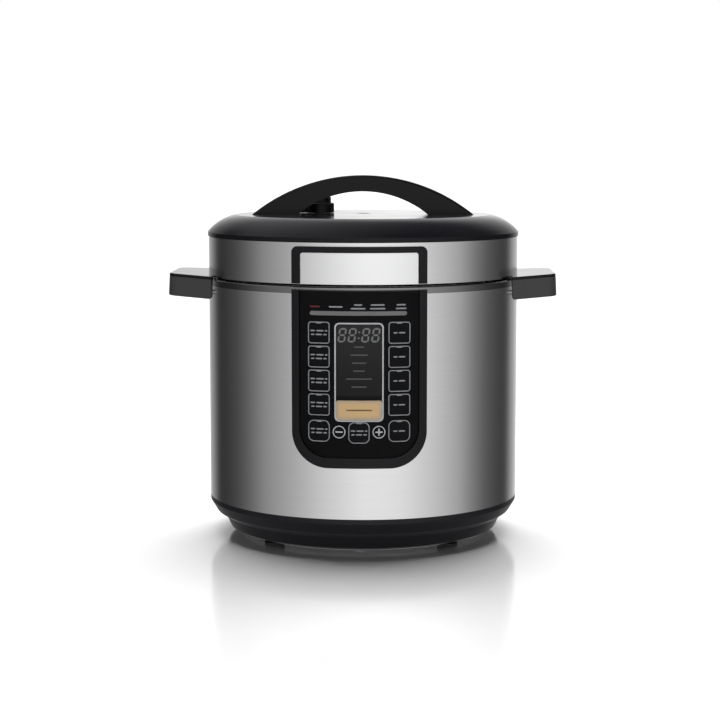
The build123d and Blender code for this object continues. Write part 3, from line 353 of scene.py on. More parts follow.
@dataclass(frozen=True)
class GlossPlastic(Finish):
    """Polished moulded plastic: faint orange peel, wiping marks and a little dust."""

    colour: Colour = (0.0072, 0.0068, 0.0092)
    dust: Colour = (0.018, 0.0172, 0.021)
    roughness: float = 0.12
    shine: float = 0.2
    peel: float = 0.00001
    peel_scale: float = 420.0
    dust_scale: float = 520.0

    def paint(self, graph: Graph) -> None:
        """Slow noise for the peel, wide noise for wiping, small specks for dust.

        Args:
            graph: the material's graph, filled here.
        """
        place = graph.position()
        peel = graph.noise(place, self.peel_scale, 1.0)
        wiped = graph.noise(place, (26.0, 60.0, 40.0), 4.0)
        specks = graph.span(graph.cells(place, self.dust_scale), 0.05, 0.11, 1.0, 0.0)
        dusty = graph.clamp(specks * graph.span(graph.noise(place, 38.0), 0.5, 0.7) + wiped * 0.25)
        graph.surface({
            "Base Color": graph.mix(dusty, self.colour, self.dust),
            "Roughness": (wiped - 0.5) * 0.1 + specks * 0.12 + self.roughness,
            "IOR": 1.5, "Specular IOR Level": self.shine, "Normal": graph.bump(peel, self.peel, 0.5)})


@dataclass(frozen=True)
class GrainedPlastic(Finish):
    """Moulded plastic with a fine spark-eroded grain."""

    colour: Colour = (0.0135, 0.0128, 0.0165)
    worn: Colour = (0.026, 0.025, 0.031)
    roughness: float = 0.36
    shine: float = 0.25
    grain: float = 0.0005
    depth: float = 0.00003
    rub_scale: float = 34.0

    def paint(self, graph: Graph) -> None:
        """Two sizes of pits, and paler tops where hands rub.

        Args:
            graph: the material's graph, filled here.
        """
        place = graph.position()
        pits = graph.cells(place, 1 / self.grain)
        lumps = graph.noise(place, 0.4 / self.grain, 2.0)
        rubbed = graph.noise(place, self.rub_scale, 4.0)
        height = graph.clamp(pits * 0.7 + lumps * 0.5)
        tone = graph.clamp(rubbed * 0.6 + pits * 0.35 - 0.12)
        graph.surface({
            "Base Color": graph.mix(tone, self.colour, self.worn),
            "Roughness": (rubbed - 0.5) * 0.14 + (0.5 - pits) * 0.06 + self.roughness,
            "Specular IOR Level": self.shine,
            "Normal": graph.bump(height, self.depth, 0.6)})


@dataclass(frozen=True)
class PanelGloss(Finish):
    """Back-printed acrylic: deep black under a hard clear surface."""

    colour: Colour = (0.0045, 0.0045, 0.0052)
    smear: Colour = (0.0085, 0.0085, 0.0095)
    roughness: float = 0.09
    shine: float = 0.05
    smear_scale: Colour = (45.0, 20.0, 70.0)
    scratch_scale: Colour = (18.0, 18.0, 900.0)
    smear_depth: float = 0.000004

    def paint(self, graph: Graph) -> None:
        """Finger smears in the gloss and a few hairline scratches.

        Args:
            graph: the material's graph, filled here.
        """
        place = graph.position()
        smear = graph.noise(place, self.smear_scale, 5.0)
        lines = graph.noise(place, self.scratch_scale, 2.0)
        scratch = graph.span(lines, 0.66, 0.72)
        graph.surface({
            "Base Color": graph.mix(smear, self.colour, self.smear),
            "Roughness": (smear - 0.5) * 0.1 + scratch * 0.1 + self.roughness,
            "IOR": 1.49, "Specular IOR Level": self.shine,
            "Normal": graph.bump(smear, self.smear_depth, 0.4)})


@dataclass(frozen=True)
class SmokedLens(Finish):
    """The display behind smoked acrylic: dark grey fading down to a black strip."""

    top: Colour = (0.040, 0.040, 0.041)
    bottom: Colour = (0.020, 0.020, 0.021)
    strip: Colour = (0.004, 0.004, 0.0045)
    top_z: float = 0.203
    bottom_z: float = 0.142
    strip_edge: float = 0.0004
    mask_scale: float = 1900.0
    smear_depth: float = 0.000003

    def paint(self, graph: Graph) -> None:
        """Colour by height, with the fine dots of the display's mask.

        Args:
            graph: the material's graph, filled here.
        """
        place = graph.position()
        height = graph.parts_of(place)[2]
        fade = graph.span(height, self.bottom_z, self.top_z)
        shown = graph.mix(fade, self.bottom, self.top)
        mask = graph.cells(place, self.mask_scale)
        dotted = graph.mix(graph.clamp(mask * 0.5), shown, self.strip)
        strip = graph.span(height, self.bottom_z - self.strip_edge, self.bottom_z)
        smear = graph.noise(place, (50.0, 20.0, 80.0), 4.0)
        graph.surface({
            "Base Color": graph.mix(strip, self.strip, dotted), "Roughness": smear * 0.12 + 0.03, "IOR": 1.49,
            "Specular IOR Level": 0.12, "Normal": graph.bump(smear, self.smear_depth, 0.3)})


@dataclass(frozen=True)
class Lacquer(Finish):
    """Metallic lacquer: fine flakes in a coloured coat."""

    colour: Colour = (0.72, 0.46, 0.20)
    light: Colour = (0.86, 0.60, 0.30)
    roughness: float = 0.34
    flake_scale: float = 4200.0
    cloud_scale: float = 60.0

    def paint(self, graph: Graph) -> None:
        """Flakes as small cells, and slow clouds in the coat.

        Args:
            graph: the material's graph, filled here.
        """
        place = graph.position()
        flakes = graph.cells(place, self.flake_scale)
        clouds = graph.noise(place, self.cloud_scale, 3.0)
        graph.surface({
            "Base Color": graph.mix(graph.clamp(flakes * 0.5 + clouds * 0.5), self.colour, self.light),
            "Metallic": 0.25, "Roughness": (clouds - 0.5) * 0.1 + self.roughness, "Coat Weight": 0.3,
            "Normal": graph.bump(flakes, 0.000008, 0.5)})


@dataclass(frozen=True)
class Rubber(Finish):
    """Dull rubber or silicone with a powdery surface."""

    colour: Colour = (0.018, 0.018, 0.019)
    bloom: Colour = (0.035, 0.035, 0.036)
    roughness: float = 0.72
    bloom_scale: float = 55.0
    grain_scale: float = 2600.0

    def paint(self, graph: Graph) -> None:
        """Cloudy bloom over a fine matt grain.

        Args:
            graph: the material's graph, filled here.
        """
        place = graph.position()
        bloom = graph.noise(place, self.bloom_scale, 4.0)
        grain = graph.noise(place, self.grain_scale, 1.0)
        graph.surface({
            "Base Color": graph.mix(bloom, self.colour, self.bloom),
            "Roughness": (bloom - 0.5) * 0.2 + self.roughness, "Normal": graph.bump(grain, 0.00003, 0.5)})


@dataclass(frozen=True)
class ClearPlastic(Finish):
    """Clear moulded plastic with faint flow marks."""

    tint: Colour = (0.93, 0.95, 0.96)
    marked: Colour = (0.88, 0.91, 0.93)
    flow_scale: Colour = (60.0, 60.0, 14.0)

    def paint(self, graph: Graph) -> None:
        """Flow marks tilt the surface and dull the gloss a little.

        Args:
            graph: the material's graph, filled here.
        """
        place = graph.position()
        flow = graph.noise(place, self.flow_scale, 3.0)
        graph.surface({
            "Base Color": graph.mix(flow, self.tint, self.marked), "Roughness": flow * 0.08 + 0.02,
            "IOR": 1.58, "Transmission Weight": 0.92, "Normal": graph.bump(flow, 0.00004, 0.3)})


@dataclass(frozen=True)
class Laminate(Finish):
    """Circuit board: green mask over a woven base with copper tracks."""

    mask: Colour = (0.012, 0.085, 0.035)
    track: Colour = (0.028, 0.15, 0.06)
    track_scale: Colour = (260.0, 260.0, 60.0)
    weave_scale: float = 3200.0

    def paint(self, graph: Graph) -> None:
        """Tracks where a stretched noise crosses a level, and a fine weave below.

        Args:
            graph: the material's graph, filled here.
        """
        place = graph.position()
        lines = graph.noise(place, self.track_scale, 1.0)
        tracks = graph.span(graph.maths("ABSOLUTE", lines - 0.5), 0.02, 0.035, 1.0, 0.0)
        weave = graph.noise(place, self.weave_scale, 1.0)
        graph.surface({
            "Base Color": graph.mix(tracks, self.mask, self.track), "Roughness": weave * 0.15 + 0.25,
            "Normal": graph.bump(tracks + weave * 0.2, 0.00004, 0.5)})


@dataclass(frozen=True)
class PlatedMetal(Finish):
    """Plated or bare small metal parts with tool marks and tarnish."""

    colour: Colour = (0.55, 0.55, 0.56)
    tarnish: Colour = (0.33, 0.33, 0.35)
    roughness: float = 0.3
    cloud_scale: float = 160.0
    mark_scale: Colour = (900.0, 900.0, 5200.0)

    def paint(self, graph: Graph) -> None:
        """Tarnish in clouds, tool marks as fine streaks.

        Args:
            graph: the material's graph, filled here.
        """
        place = graph.position()
        clouds = graph.noise(place, self.cloud_scale, 4.0)
        marks = graph.noise(place, self.mark_scale, 2.0)
        graph.surface({
            "Base Color": graph.mix(graph.span(clouds, 0.35, 0.75), self.colour, self.tarnish),
            "Metallic": 1.0, "Roughness": (clouds - 0.5) * 0.25 + self.roughness,
            "Normal": graph.bump(marks, 0.00002, 0.5)})


@dataclass(frozen=True)
class Ink(Finish):
    """Screen-printed ink, a little uneven and slightly rough."""

    colour: Colour = (0.35, 0.36, 0.38)
    thin_share: float = 0.72
    screen_scale: float = 5200.0
    cover_scale: float = 90.0

    def paint(self, graph: Graph) -> None:
        """Pinholes of the screen and a slow change of thickness.

        Args:
            graph: the material's graph, filled here.
        """
        place = graph.position()
        screen = graph.noise(place, self.screen_scale, 1.0)
        thick = graph.noise(place, self.cover_scale, 2.0)
        thin = tuple(self.thin_share * part for part in self.colour)
        cover = graph.clamp(screen * 0.5 + thick * 0.7)
        painted = graph.mix(cover, thin, self.colour)
        graph.surface({
            "Base Color": painted, "Roughness": screen * 0.2 + 0.35,
            "Normal": graph.bump(screen, 0.00001, 0.4)})


@dataclass(frozen=True)
class Worktop(Finish):
    """The pale floor: white, slightly polished."""

    colour: Colour = (0.9, 0.9, 0.905)
    polish: float = 0.34
    roughness: float = 0.13
    matt_roughness: float = 0.9
    cloud_scale: float = 3.0
    cloud_share: float = 0.985

    def paint(self, graph: Graph) -> None:
        """Nearly even white with a faint cloud in tone and an even, faint polish.

        Args:
            graph: the material's graph, filled here.
        """
        cloud = graph.noise(graph.position(), self.cloud_scale, 3.0)
        tone = graph.mix(cloud, self.colour, tuple(self.cloud_share * part for part in self.colour))
        matt = graph.node("ShaderNodeBsdfPrincipled", None,
                          {"Base Color": tone, "Roughness": self.matt_roughness, "Specular IOR Level": 0.0})
        rough = (cloud - 0.5) * 0.03 + self.roughness
        gloss = graph.node("ShaderNodeBsdfAnisotropic", None, {"Roughness": rough})
        both = graph.node("ShaderNodeMixShader", None,
                          {0: self.polish, 1: graph.out(matt), 2: graph.out(gloss)})
        graph.node("ShaderNodeOutputMaterial", None, {"Surface": graph.out(both)})


FINISHES: dict[Slot, Finish] = {
    Slot.GLOSS_BLACK: GlossPlastic("finish_gloss_black"),
    Slot.SMOKED_GLOSS: SpunMetal("finish_smoked_gloss", colour=(0.30, 0.30, 0.305), shade=(0.25, 0.25, 0.255),
                                 roughness=0.16, ring_width=0.0012),
    Slot.SATIN_BLACK: GrainedPlastic("finish_satin_black"),
    Slot.BRUSHED_STEEL: BrushedSteel("finish_brushed_steel"),
    Slot.BADGE_METAL: BrushedSteel("finish_badge_metal", colour=(1.0, 1.0, 1.0), shade=(0.95, 0.955, 0.96),
                                   roughness=0.3, grain_length=0.03),
    Slot.LID_STEEL: SpunMetal("finish_lid_steel", roughness=0.2),
    Slot.POT_METAL: SpunMetal("finish_pot_metal", colour=(0.17, 0.165, 0.16), shade=(0.10, 0.098, 0.096),
                              roughness=0.38),
    Slot.LINER_METAL: SpunMetal("finish_liner_metal", colour=(0.52, 0.52, 0.53), shade=(0.42, 0.42, 0.43),
                                roughness=0.34, ring_width=0.0009),
    Slot.PANEL_BLACK: PanelGloss("finish_panel_black"),
    Slot.SMOKED_LENS: SmokedLens("finish_smoked_lens"),
    Slot.DISPLAY_GREY: GrainedPlastic("finish_display_grey", colour=(0.05, 0.052, 0.055),
                                      worn=(0.07, 0.07, 0.075)),
    Slot.KEY_BLACK: PanelGloss("finish_key_black", colour=(0.006, 0.0062, 0.0075),
                               smear=(0.011, 0.011, 0.0125), roughness=0.16),
    Slot.KEY_GOLD: Lacquer("finish_key_gold"),
    Slot.FOOT_RUBBER: Rubber("finish_foot_rubber"),
    Slot.SILICONE: Rubber("finish_silicone", colour=(0.55, 0.55, 0.54), bloom=(0.68, 0.68, 0.67),
                          roughness=0.5),
    Slot.CLEAR_PLASTIC: ClearPlastic("finish_clear_plastic"),
    Slot.BOARD_GREEN: Laminate("finish_board_green"),
    Slot.PART_PLASTIC: GrainedPlastic("finish_part_plastic", colour=(0.08, 0.078, 0.07),
                                      worn=(0.11, 0.107, 0.1)),
    Slot.BRASS: PlatedMetal("finish_brass", colour=(0.78, 0.56, 0.26), tarnish=(0.5, 0.33, 0.14)),
    Slot.ZINC: PlatedMetal("finish_zinc"),
}
GRIP_FINISH = GrainedPlastic("finish_grip", colour=(0.045, 0.045, 0.046), worn=(0.062, 0.062, 0.063),
                             shine=0.5)
INK_SILVER = Ink("ink_silver", (0.40, 0.42, 0.44))
INK_WHITE = Ink("ink_white", (0.78, 0.80, 0.82))
INK_GREY = Ink("ink_grey", (0.24, 0.24, 0.245))
INK_FAINT = Ink("ink_faint", (0.11, 0.11, 0.115))
INK_RED = Ink("ink_red", (0.17, 0.012, 0.014))
INK_PALE_GOLD = Ink("ink_pale_gold", (0.76, 0.60, 0.42))
INK_BROWN = Ink("ink_brown", (0.30, 0.17, 0.06))


# ---- Meshes ----

def put_in(name: str, points: np.ndarray, faces: list[tuple[int, ...]]) -> bpy.types.Object:
    """A new piece from points and faces, smooth except at sharp edges.

    Args:
        name: name of the piece.
        points: an array of (x, y, z).
        faces: point numbers of each face, turned so that it points outwards.

    Returns:
        The new object, linked to the scene.
    """
    mesh = bpy.data.meshes.new(name)
    mesh.from_pydata(points.reshape(-1, 3).tolist(), [], faces)
    mesh.validate()
    mesh.shade_smooth()
    mesh.set_sharp_from_angle(angle=math.radians(SMOOTH_DEG))
    piece = bpy.data.objects.new(name, mesh)
    bpy.context.scene.collection.objects.link(piece)
    return piece


def grid_faces(rows: int, columns: int, first: int) -> list[tuple[int, ...]]:
    """Quads of a grid of points numbered row by row.

    Args:
        rows: points in the first direction.
        columns: points in the second direction.
        first: number of the grid's first point.

    Returns:
        One tuple of four point numbers for each quad, which faces along the second direction
        crossed with the first.
    """
    i, j = np.meshgrid(np.arange(rows - 1), np.arange(columns - 1), indexing="ij")
    corner = (i * columns + j).ravel() + first
    quads = np.stack([corner, corner + 1, corner + columns + 1, corner + columns], 1)
    return list(map(tuple, quads.tolist()))


def dense(outline: np.ndarray, parts: int) -> np.ndarray:
    """A closed outline with each of its segments divided evenly.

    Args:
        outline: points in order.
        parts: how many parts each segment becomes.

    Returns:
        The divided outline.
    """
    after = np.roll(outline, -1, 0)
    share = (np.arange(parts) / parts)[None, :, None]
    return (outline[:, None] + (after - outline)[:, None] * share).reshape(-1, 2)


def rectangle(x: float, z: float, width: float, height: float, corner: float) -> np.ndarray:
    """A rounded rectangle in the front view, anticlockwise from its lower left.

    Point (k, i) is the centre of corner k plus the corner's radius, turned by a half turn, k quarter
    turns and share i of a quarter.

    Args:
        x: its middle.
        z: its middle.
        width: its whole width.
        height: its whole height.
        corner: radius of its corners.

    Returns:
        Array of (x, z).
    """
    quarter = np.arange(4)[:, None] + np.linspace(0, 1, ARC_PARTS + 1)
    angle = np.pi * (1 + quarter / 2)
    across = np.array([[-1], [1], [1], [-1]]) * (width / 2 - corner)
    up = np.array([[-1], [-1], [1], [1]]) * (height / 2 - corner)
    points = np.stack([across + corner * np.cos(angle), up + corner * np.sin(angle)], -1)
    return points.reshape(-1, 2) + (x, z)


def disc(x: float, z: float, radius: float, steps: int = 48) -> np.ndarray:
    """A circle in the front view, anticlockwise: point i is at turn share i.

    Args:
        x: its middle.
        z: its middle.
        radius: its radius.
        steps: how many points it has.

    Returns:
        Array of (x, z).
    """
    angle = np.linspace(0, 2 * np.pi, steps, endpoint=False)
    return np.stack([x + radius * np.cos(angle), z + radius * np.sin(angle)], 1)


def on_drum(outline: np.ndarray, radius: float) -> np.ndarray:
    """Front-view points (x, z) pushed straight on to a drum, where y is minus the root of radius^2 - x^2.

    Args:
        outline: array of (x, z).
        radius: the drum's radius.

    Returns:
        Array of (x, y, z) at the front of the drum.
    """
    x, z = outline[..., 0], outline[..., 1]
    return np.stack([x, -np.sqrt(radius ** 2 - x ** 2), z], -1)


@dataclass
class Printing:
    """Flat prints gathered into one piece: bars and rings on a drum."""

    radius: float
    step: float = 0.0014
    roundness: float = 0.9
    ring_parts: int = 8
    points: list[np.ndarray] = field(default_factory=list)
    faces: list[tuple[int, ...]] = field(default_factory=list)
    count: int = 0

    def ring(self, outer: np.ndarray, inner: np.ndarray) -> None:
        """Adds the band between two outlines with as many points each.

        Args:
            outer: the outer outline.
            inner: the inner outline.
        """
        outer, inner = dense(outer, self.ring_parts), dense(inner, self.ring_parts)
        number = len(outer)
        rim = np.arange(number)
        after = (rim + 1) % number
        band = np.stack([rim, after, after + number, rim + number], 1) + self.count
        self.keep(np.vstack([outer, inner]), band)

    def keep(self, points: np.ndarray, faces: "np.ndarray | list") -> None:
        """Takes in points and faces numbered after those already held.

        Args:
            points: front-view points (x, z).
            faces: point numbers of each face.
        """
        self.points.append(points)
        self.faces.extend(map(tuple, np.asarray(faces).tolist()))
        self.count += len(points)

    def bar(self, x: float, z: float, width: float, height: float, lean: float = 0.0) -> None:
        """Adds a bar with round ends, leaning by a share of its height.

        Point (i, j) lies at height share i and width share j. A wide bar is lower towards its two ends,
        and a tall one narrower, as a half circle is.

        Args:
            x: middle of the bar.
            z: middle of the bar.
            width: its whole width.
            height: its whole height.
            lean: shift in x for each unit of height.
        """
        across = np.linspace(-1, 1, max(7, 2 * round(width / self.step) + 1))
        up = np.linspace(-1, 1, max(5, 2 * round(height / self.step) + 1))
        v, u = np.meshgrid(up, across, indexing="ij")
        end = min(width, height) / 2
        flat_w, flat_h = width / 2 - end, height / 2 - end
        along_x = np.clip((np.abs(u) * width / 2 - flat_w) / end, 0, 1)
        along_z = np.clip((np.abs(v) * height / 2 - flat_h) / end, 0, 1)
        wide = width >= height
        px = u * width / 2 * (1.0 if wide else np.sqrt(1 - self.roundness * along_z ** 2))
        pz = v * height / 2 * (np.sqrt(1 - self.roundness * along_x ** 2) if wide else 1.0)
        points = np.stack([x + px + lean * pz, z + pz], -1).reshape(-1, 2)
        self.keep(points, grid_faces(len(up), len(across), self.count))

    def finish(self, name: str, body: str, slot: Slot, ink: Finish) -> bpy.types.Object:
        """The prints as one piece on a body.

        Args:
            name: name of the piece.
            body: the CAD body that it rides on.
            slot: the record's slot that it belongs to.
            ink: what it is printed with.

        Returns:
            The new piece.
        """
        piece = put_in(name, on_drum(np.vstack(self.points), self.radius), self.faces)
        return placed(piece, body, slot, ink)


def placed(piece: bpy.types.Object, body: str, slot: Slot, finish: Finish | None = None) -> bpy.types.Object:
    """Gives a new piece its body and finish.

    Args:
        piece: the new piece.
        body: the CAD body that it rides on.
        slot: the record's slot that it takes its finish from.
        finish: another finish than the slot's own, if any.

    Returns:
        The piece.
    """
    piece.data.materials.clear()
    piece.data.materials.append((finish or FINISHES[slot]).material())
    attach(piece, body)
    LOG.info("built %s on %s", piece.name, body)
    return piece


def extent(node: str) -> tuple[np.ndarray, np.ndarray]:
    """Lowest and highest corner of a CAD node at rest.

    Args:
        node: the node's name.

    Returns:
        Two arrays of (x, y, z).
    """
    low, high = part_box(node)
    return np.array(low), np.array(high)


# ---- Sub-assemblies ----

@dataclass
class CarriedParts:
    """The CAD nodes that keep their own shape and get a finish by their slot."""

    grips: tuple[str, ...] = ("side_handle_left", "side_handle_right")

    def dress(self) -> None:
        """Gives every node of the record its finish."""
        rows = frame["record"]["subparts"]
        for row in rows:
            materials = frame["nodes"][row["node"]].data.materials
            materials.clear()
            finish = GRIP_FINISH if row["node"] in self.grips else FINISHES[Slot(row["material_slot"])]
            materials.append(finish.material())
        for node in self.grips:
            frame["nodes"][node].visible_glossy = False
        LOG.info("dressed %d carried parts", len(rows))


@dataclass
class KeyPrint:
    """The print on one key: an outline with a notch and a symbol or label bars."""

    node: str
    symbol: Symbol
    inset: float = 0.0002
    line: float = 0.0008
    corner: float = 0.0024
    low_corner: float = 0.0049
    least_corner: float = 0.0008
    gold_line: float = 0.0021
    notch_share: float = 0.26
    notch_lines: float = 1.4
    proud: float = 0.0014
    bar_height: float = 0.0012
    arm_share: float = 0.58
    gap_share: float = 0.05
    dashes: Dashes = ((0.0016, (0.22, 0.34, 0.12)), (-0.0016, (0.16, 0.30, 0.16)))
    right_dashes: Dashes = ((0.0, (0.18, 0.30)),)

    def build(self) -> None:
        """Prints the outline and the symbol on the key's front."""
        low, high = extent(self.node)
        x, z = (low[0] + high[0]) / 2, (low[2] + high[2]) / 2
        width, height = high[0] - low[0], high[2] - low[2]
        sheet = Printing(extent("body_shell")[1][0] + self.proud + INK_LIFT)
        if self.symbol in (Symbol.MINUS, Symbol.PLUS):
            self.round_symbol(sheet, x, z, width)
        else:
            self.outline(sheet, x, z, width, height)
        if self.symbol is Symbol.LABEL:
            self.labels(sheet, x, z, width)
        ink = {Symbol.GOLD: INK_PALE_GOLD, Symbol.LABEL: INK_SILVER}.get(self.symbol, INK_WHITE)
        sheet.finish(f"print_{self.node}", self.node, Slot.KEY_BLACK, ink)

    def outline(self, sheet: Printing, x: float, z: float, width: float, height: float) -> None:
        """A thin line just inside the key's edge, and a notch under its top.

        Args:
            sheet: what it is added to.
            x: the key's middle.
            z: the key's middle.
            width: the key's whole width.
            height: the key's whole height.
        """
        line = self.gold_line if self.symbol is Symbol.GOLD else self.line
        corner = self.low_corner if "bottom" in self.node else self.corner
        wide, tall = width - 2 * self.inset, height - 2 * self.inset
        outer = rectangle(x, z, wide, tall, corner)
        inner = rectangle(x, z, wide - 2 * line, tall - 2 * line, max(corner - line, self.least_corner))
        sheet.ring(outer, inner)
        if self.symbol is not Symbol.GOLD:
            top = z + height / 2 - self.inset
            sheet.bar(x, top - self.notch_lines * line, self.notch_share * width, line)

    def labels(self, sheet: Printing, x: float, z: float, width: float) -> None:
        """Rows of plain dashes where a label would be.

        Args:
            sheet: what they are added to.
            x: the key's middle.
            z: the key's middle.
            width: the key's whole width.
        """
        for shift, shares in self.right_dashes if "right" in self.node else self.dashes:
            place = x - width * (sum(shares) + self.gap_share * (len(shares) - 1)) / 2
            for share in shares:
                sheet.bar(place + share * width / 2, z + shift, share * width, self.bar_height)
                place += (share + self.gap_share) * width

    def round_symbol(self, sheet: Printing, x: float, z: float, width: float) -> None:
        """A ring with a minus or a plus in it.

        Args:
            sheet: what it is added to.
            x: the key's middle.
            z: the key's middle.
            width: the key's whole width.
        """
        radius = width / 2 - self.inset
        sheet.ring(disc(x, z, radius), disc(x, z, radius - self.line))
        arm = self.arm_share * width
        sheet.bar(x, z, arm, self.bar_height)
        if self.symbol is Symbol.PLUS:
            sheet.bar(x, z, self.bar_height, arm)


@dataclass
class ControlPanel:
    """The prints of the front panel: display digits, program rows, indicator bar and keys.

    A row of bars gives each one's middle x, its depth below the panel's top, its width and its height.
    """

    digit_width: float = 0.0066
    digit_height: float = 0.0122
    digit_drop: float = 0.0098
    digit_places: tuple[float, ...] = (-0.0142, -0.0057, 0.0057, 0.0142)
    segment: float = 0.0015
    lean: float = 0.16
    short_across: float = 1.6
    short_up: float = 1.1
    colon_x: float = 0.0003
    colon_z: float = 0.0025
    program_widths: tuple[float, ...] = (0.009, 0.015, 0.012, 0.010, 0.022, 0.013)
    program_drop: float = 0.0198
    program_pitch: float = 0.00678
    program_height: float = 0.0011
    label_width: float = 0.022
    label_height: float = 0.0013
    border_line: float = 0.0012
    border_corner: float = 0.0042
    border_inner_corner: float = 0.0032
    border_below: float = 0.0008
    indicator_bar: Bars = ((-0.0007, 0.0186, 0.0819, 0.0036),)
    stage_marks: Bars = (
        (-0.0196, 0.0131, 0.0118, 0.0013),
        (-0.0007, 0.0145, 0.0125, 0.0013), (-0.0007, 0.0114, 0.007, 0.0013),
        (0.0157, 0.0145, 0.0132, 0.0013), (0.0157, 0.0114, 0.0118, 0.0013),
        (0.0354, 0.0145, 0.009, 0.0013), (0.0354, 0.0114, 0.0078, 0.0013))
    first_mark: Bars = ((-0.0373, 0.0131, 0.0085, 0.0014),)
    symbols: dict[str, Symbol] = field(default_factory=lambda: {
        "key_main": Symbol.GOLD, "key_minus": Symbol.MINUS, "key_plus": Symbol.PLUS})

    def build(self) -> None:
        """Prints everything on the panel."""
        low, high = extent("display_window")
        radius = -low[1] + INK_LIFT
        self.digits(Printing(radius), high[2])
        self.programs(Printing(radius), high[2])
        self.display_border(radius, low, high)
        self.indicators(radius)
        self.main_key_label()
        for node in sorted(n for n in frame["nodes"] if n.startswith("key_") and n != "key_switches"):
            KeyPrint(node, self.symbols.get(node, Symbol.LABEL)).build()

    def digits(self, sheet: Printing, top: float) -> None:
        """Four seven-segment eights and a colon near the display's top.

        Args:
            sheet: an empty printing at the display's radius.
            top: height of the display's upper edge.
        """
        middle = top - self.digit_drop
        for x in self.digit_places:
            self.eight(sheet, x, middle)
        for side in (-1, 1):
            sheet.bar(side * self.colon_x, middle + side * self.colon_z, self.segment, self.segment)
        sheet.finish("print_digits", "cooker", Slot.SMOKED_LENS, INK_GREY)

    def eight(self, sheet: Printing, x: float, z: float) -> None:
        """One leaning figure eight of seven bars.

        Args:
            sheet: what it is added to.
            x: its middle.
            z: its middle.
        """
        half_w, half_h = self.digit_width / 2, self.digit_height / 2
        across = self.digit_width - self.short_across * self.segment
        up = half_h - self.short_up * self.segment
        for row in (-1, 0, 1):
            centre = z + row * (half_h - self.segment / 2)
            sheet.bar(x + self.lean * (centre - z), centre, across, self.segment)
        for side in (-1, 1):
            for row in (-1, 1):
                centre = z + row * half_h / 2
                place = x + side * (half_w - self.segment / 2) + self.lean * (centre - z)
                sheet.bar(place, centre, self.segment, up, self.lean)

    def programs(self, sheet: Printing, top: float) -> None:
        """Six faint rows of bars down the display, for the program names.

        Args:
            sheet: an empty printing at the display's radius.
            top: height of the display's upper edge.
        """
        for row, width in enumerate(self.program_widths):
            sheet.bar(0.0, top - self.program_drop - row * self.program_pitch, width, self.program_height)
        sheet.finish("print_programs", "cooker", Slot.SMOKED_LENS, INK_FAINT)

    def main_key_label(self) -> None:
        """A brown dash in the middle of the main key."""
        low, high = extent("key_main")
        sheet = Printing(-low[1] + 2 * INK_LIFT)
        sheet.bar(0.0, (low[2] + high[2]) / 2, self.label_width, self.label_height)
        sheet.finish("print_main_label", "key_main", Slot.KEY_GOLD, INK_BROWN)

    def display_border(self, radius: float, low: np.ndarray, high: np.ndarray) -> None:
        """The light line round the display and the main key.

        Args:
            radius: the drum's radius at the print.
            low: lowest corner of the display.
            high: highest corner of the display.
        """
        bottom = extent("key_main")[0][2] - self.border_below
        width, height, middle = high[0] - low[0], high[2] - bottom, (high[2] + bottom) / 2
        line = self.border_line
        sheet = Printing(radius)
        sheet.ring(rectangle(0.0, middle, width + line, height + line, self.border_corner),
                   rectangle(0.0, middle, width - line, height - line, self.border_inner_corner))
        sheet.finish("print_display_border", "cooker", Slot.PANEL_BLACK, INK_WHITE)

    def indicators(self, radius: float) -> None:
        """A grey bar with stage marks over it, the first of them red.

        Args:
            radius: the drum's radius at the prints.
        """
        top = extent("panel_face")[1][2]
        for name, bars, ink in (("print_indicator_bar", self.indicator_bar, INK_GREY),
                                ("print_stage_marks", self.stage_marks, INK_SILVER),
                                ("print_first_mark", self.first_mark, INK_RED)):
            sheet = Printing(radius)
            for x, drop, width, height in bars:
                sheet.bar(x, top - drop, width, height)
            sheet.finish(name, "cooker", Slot.PANEL_BLACK, ink)


# ---- Studio ----

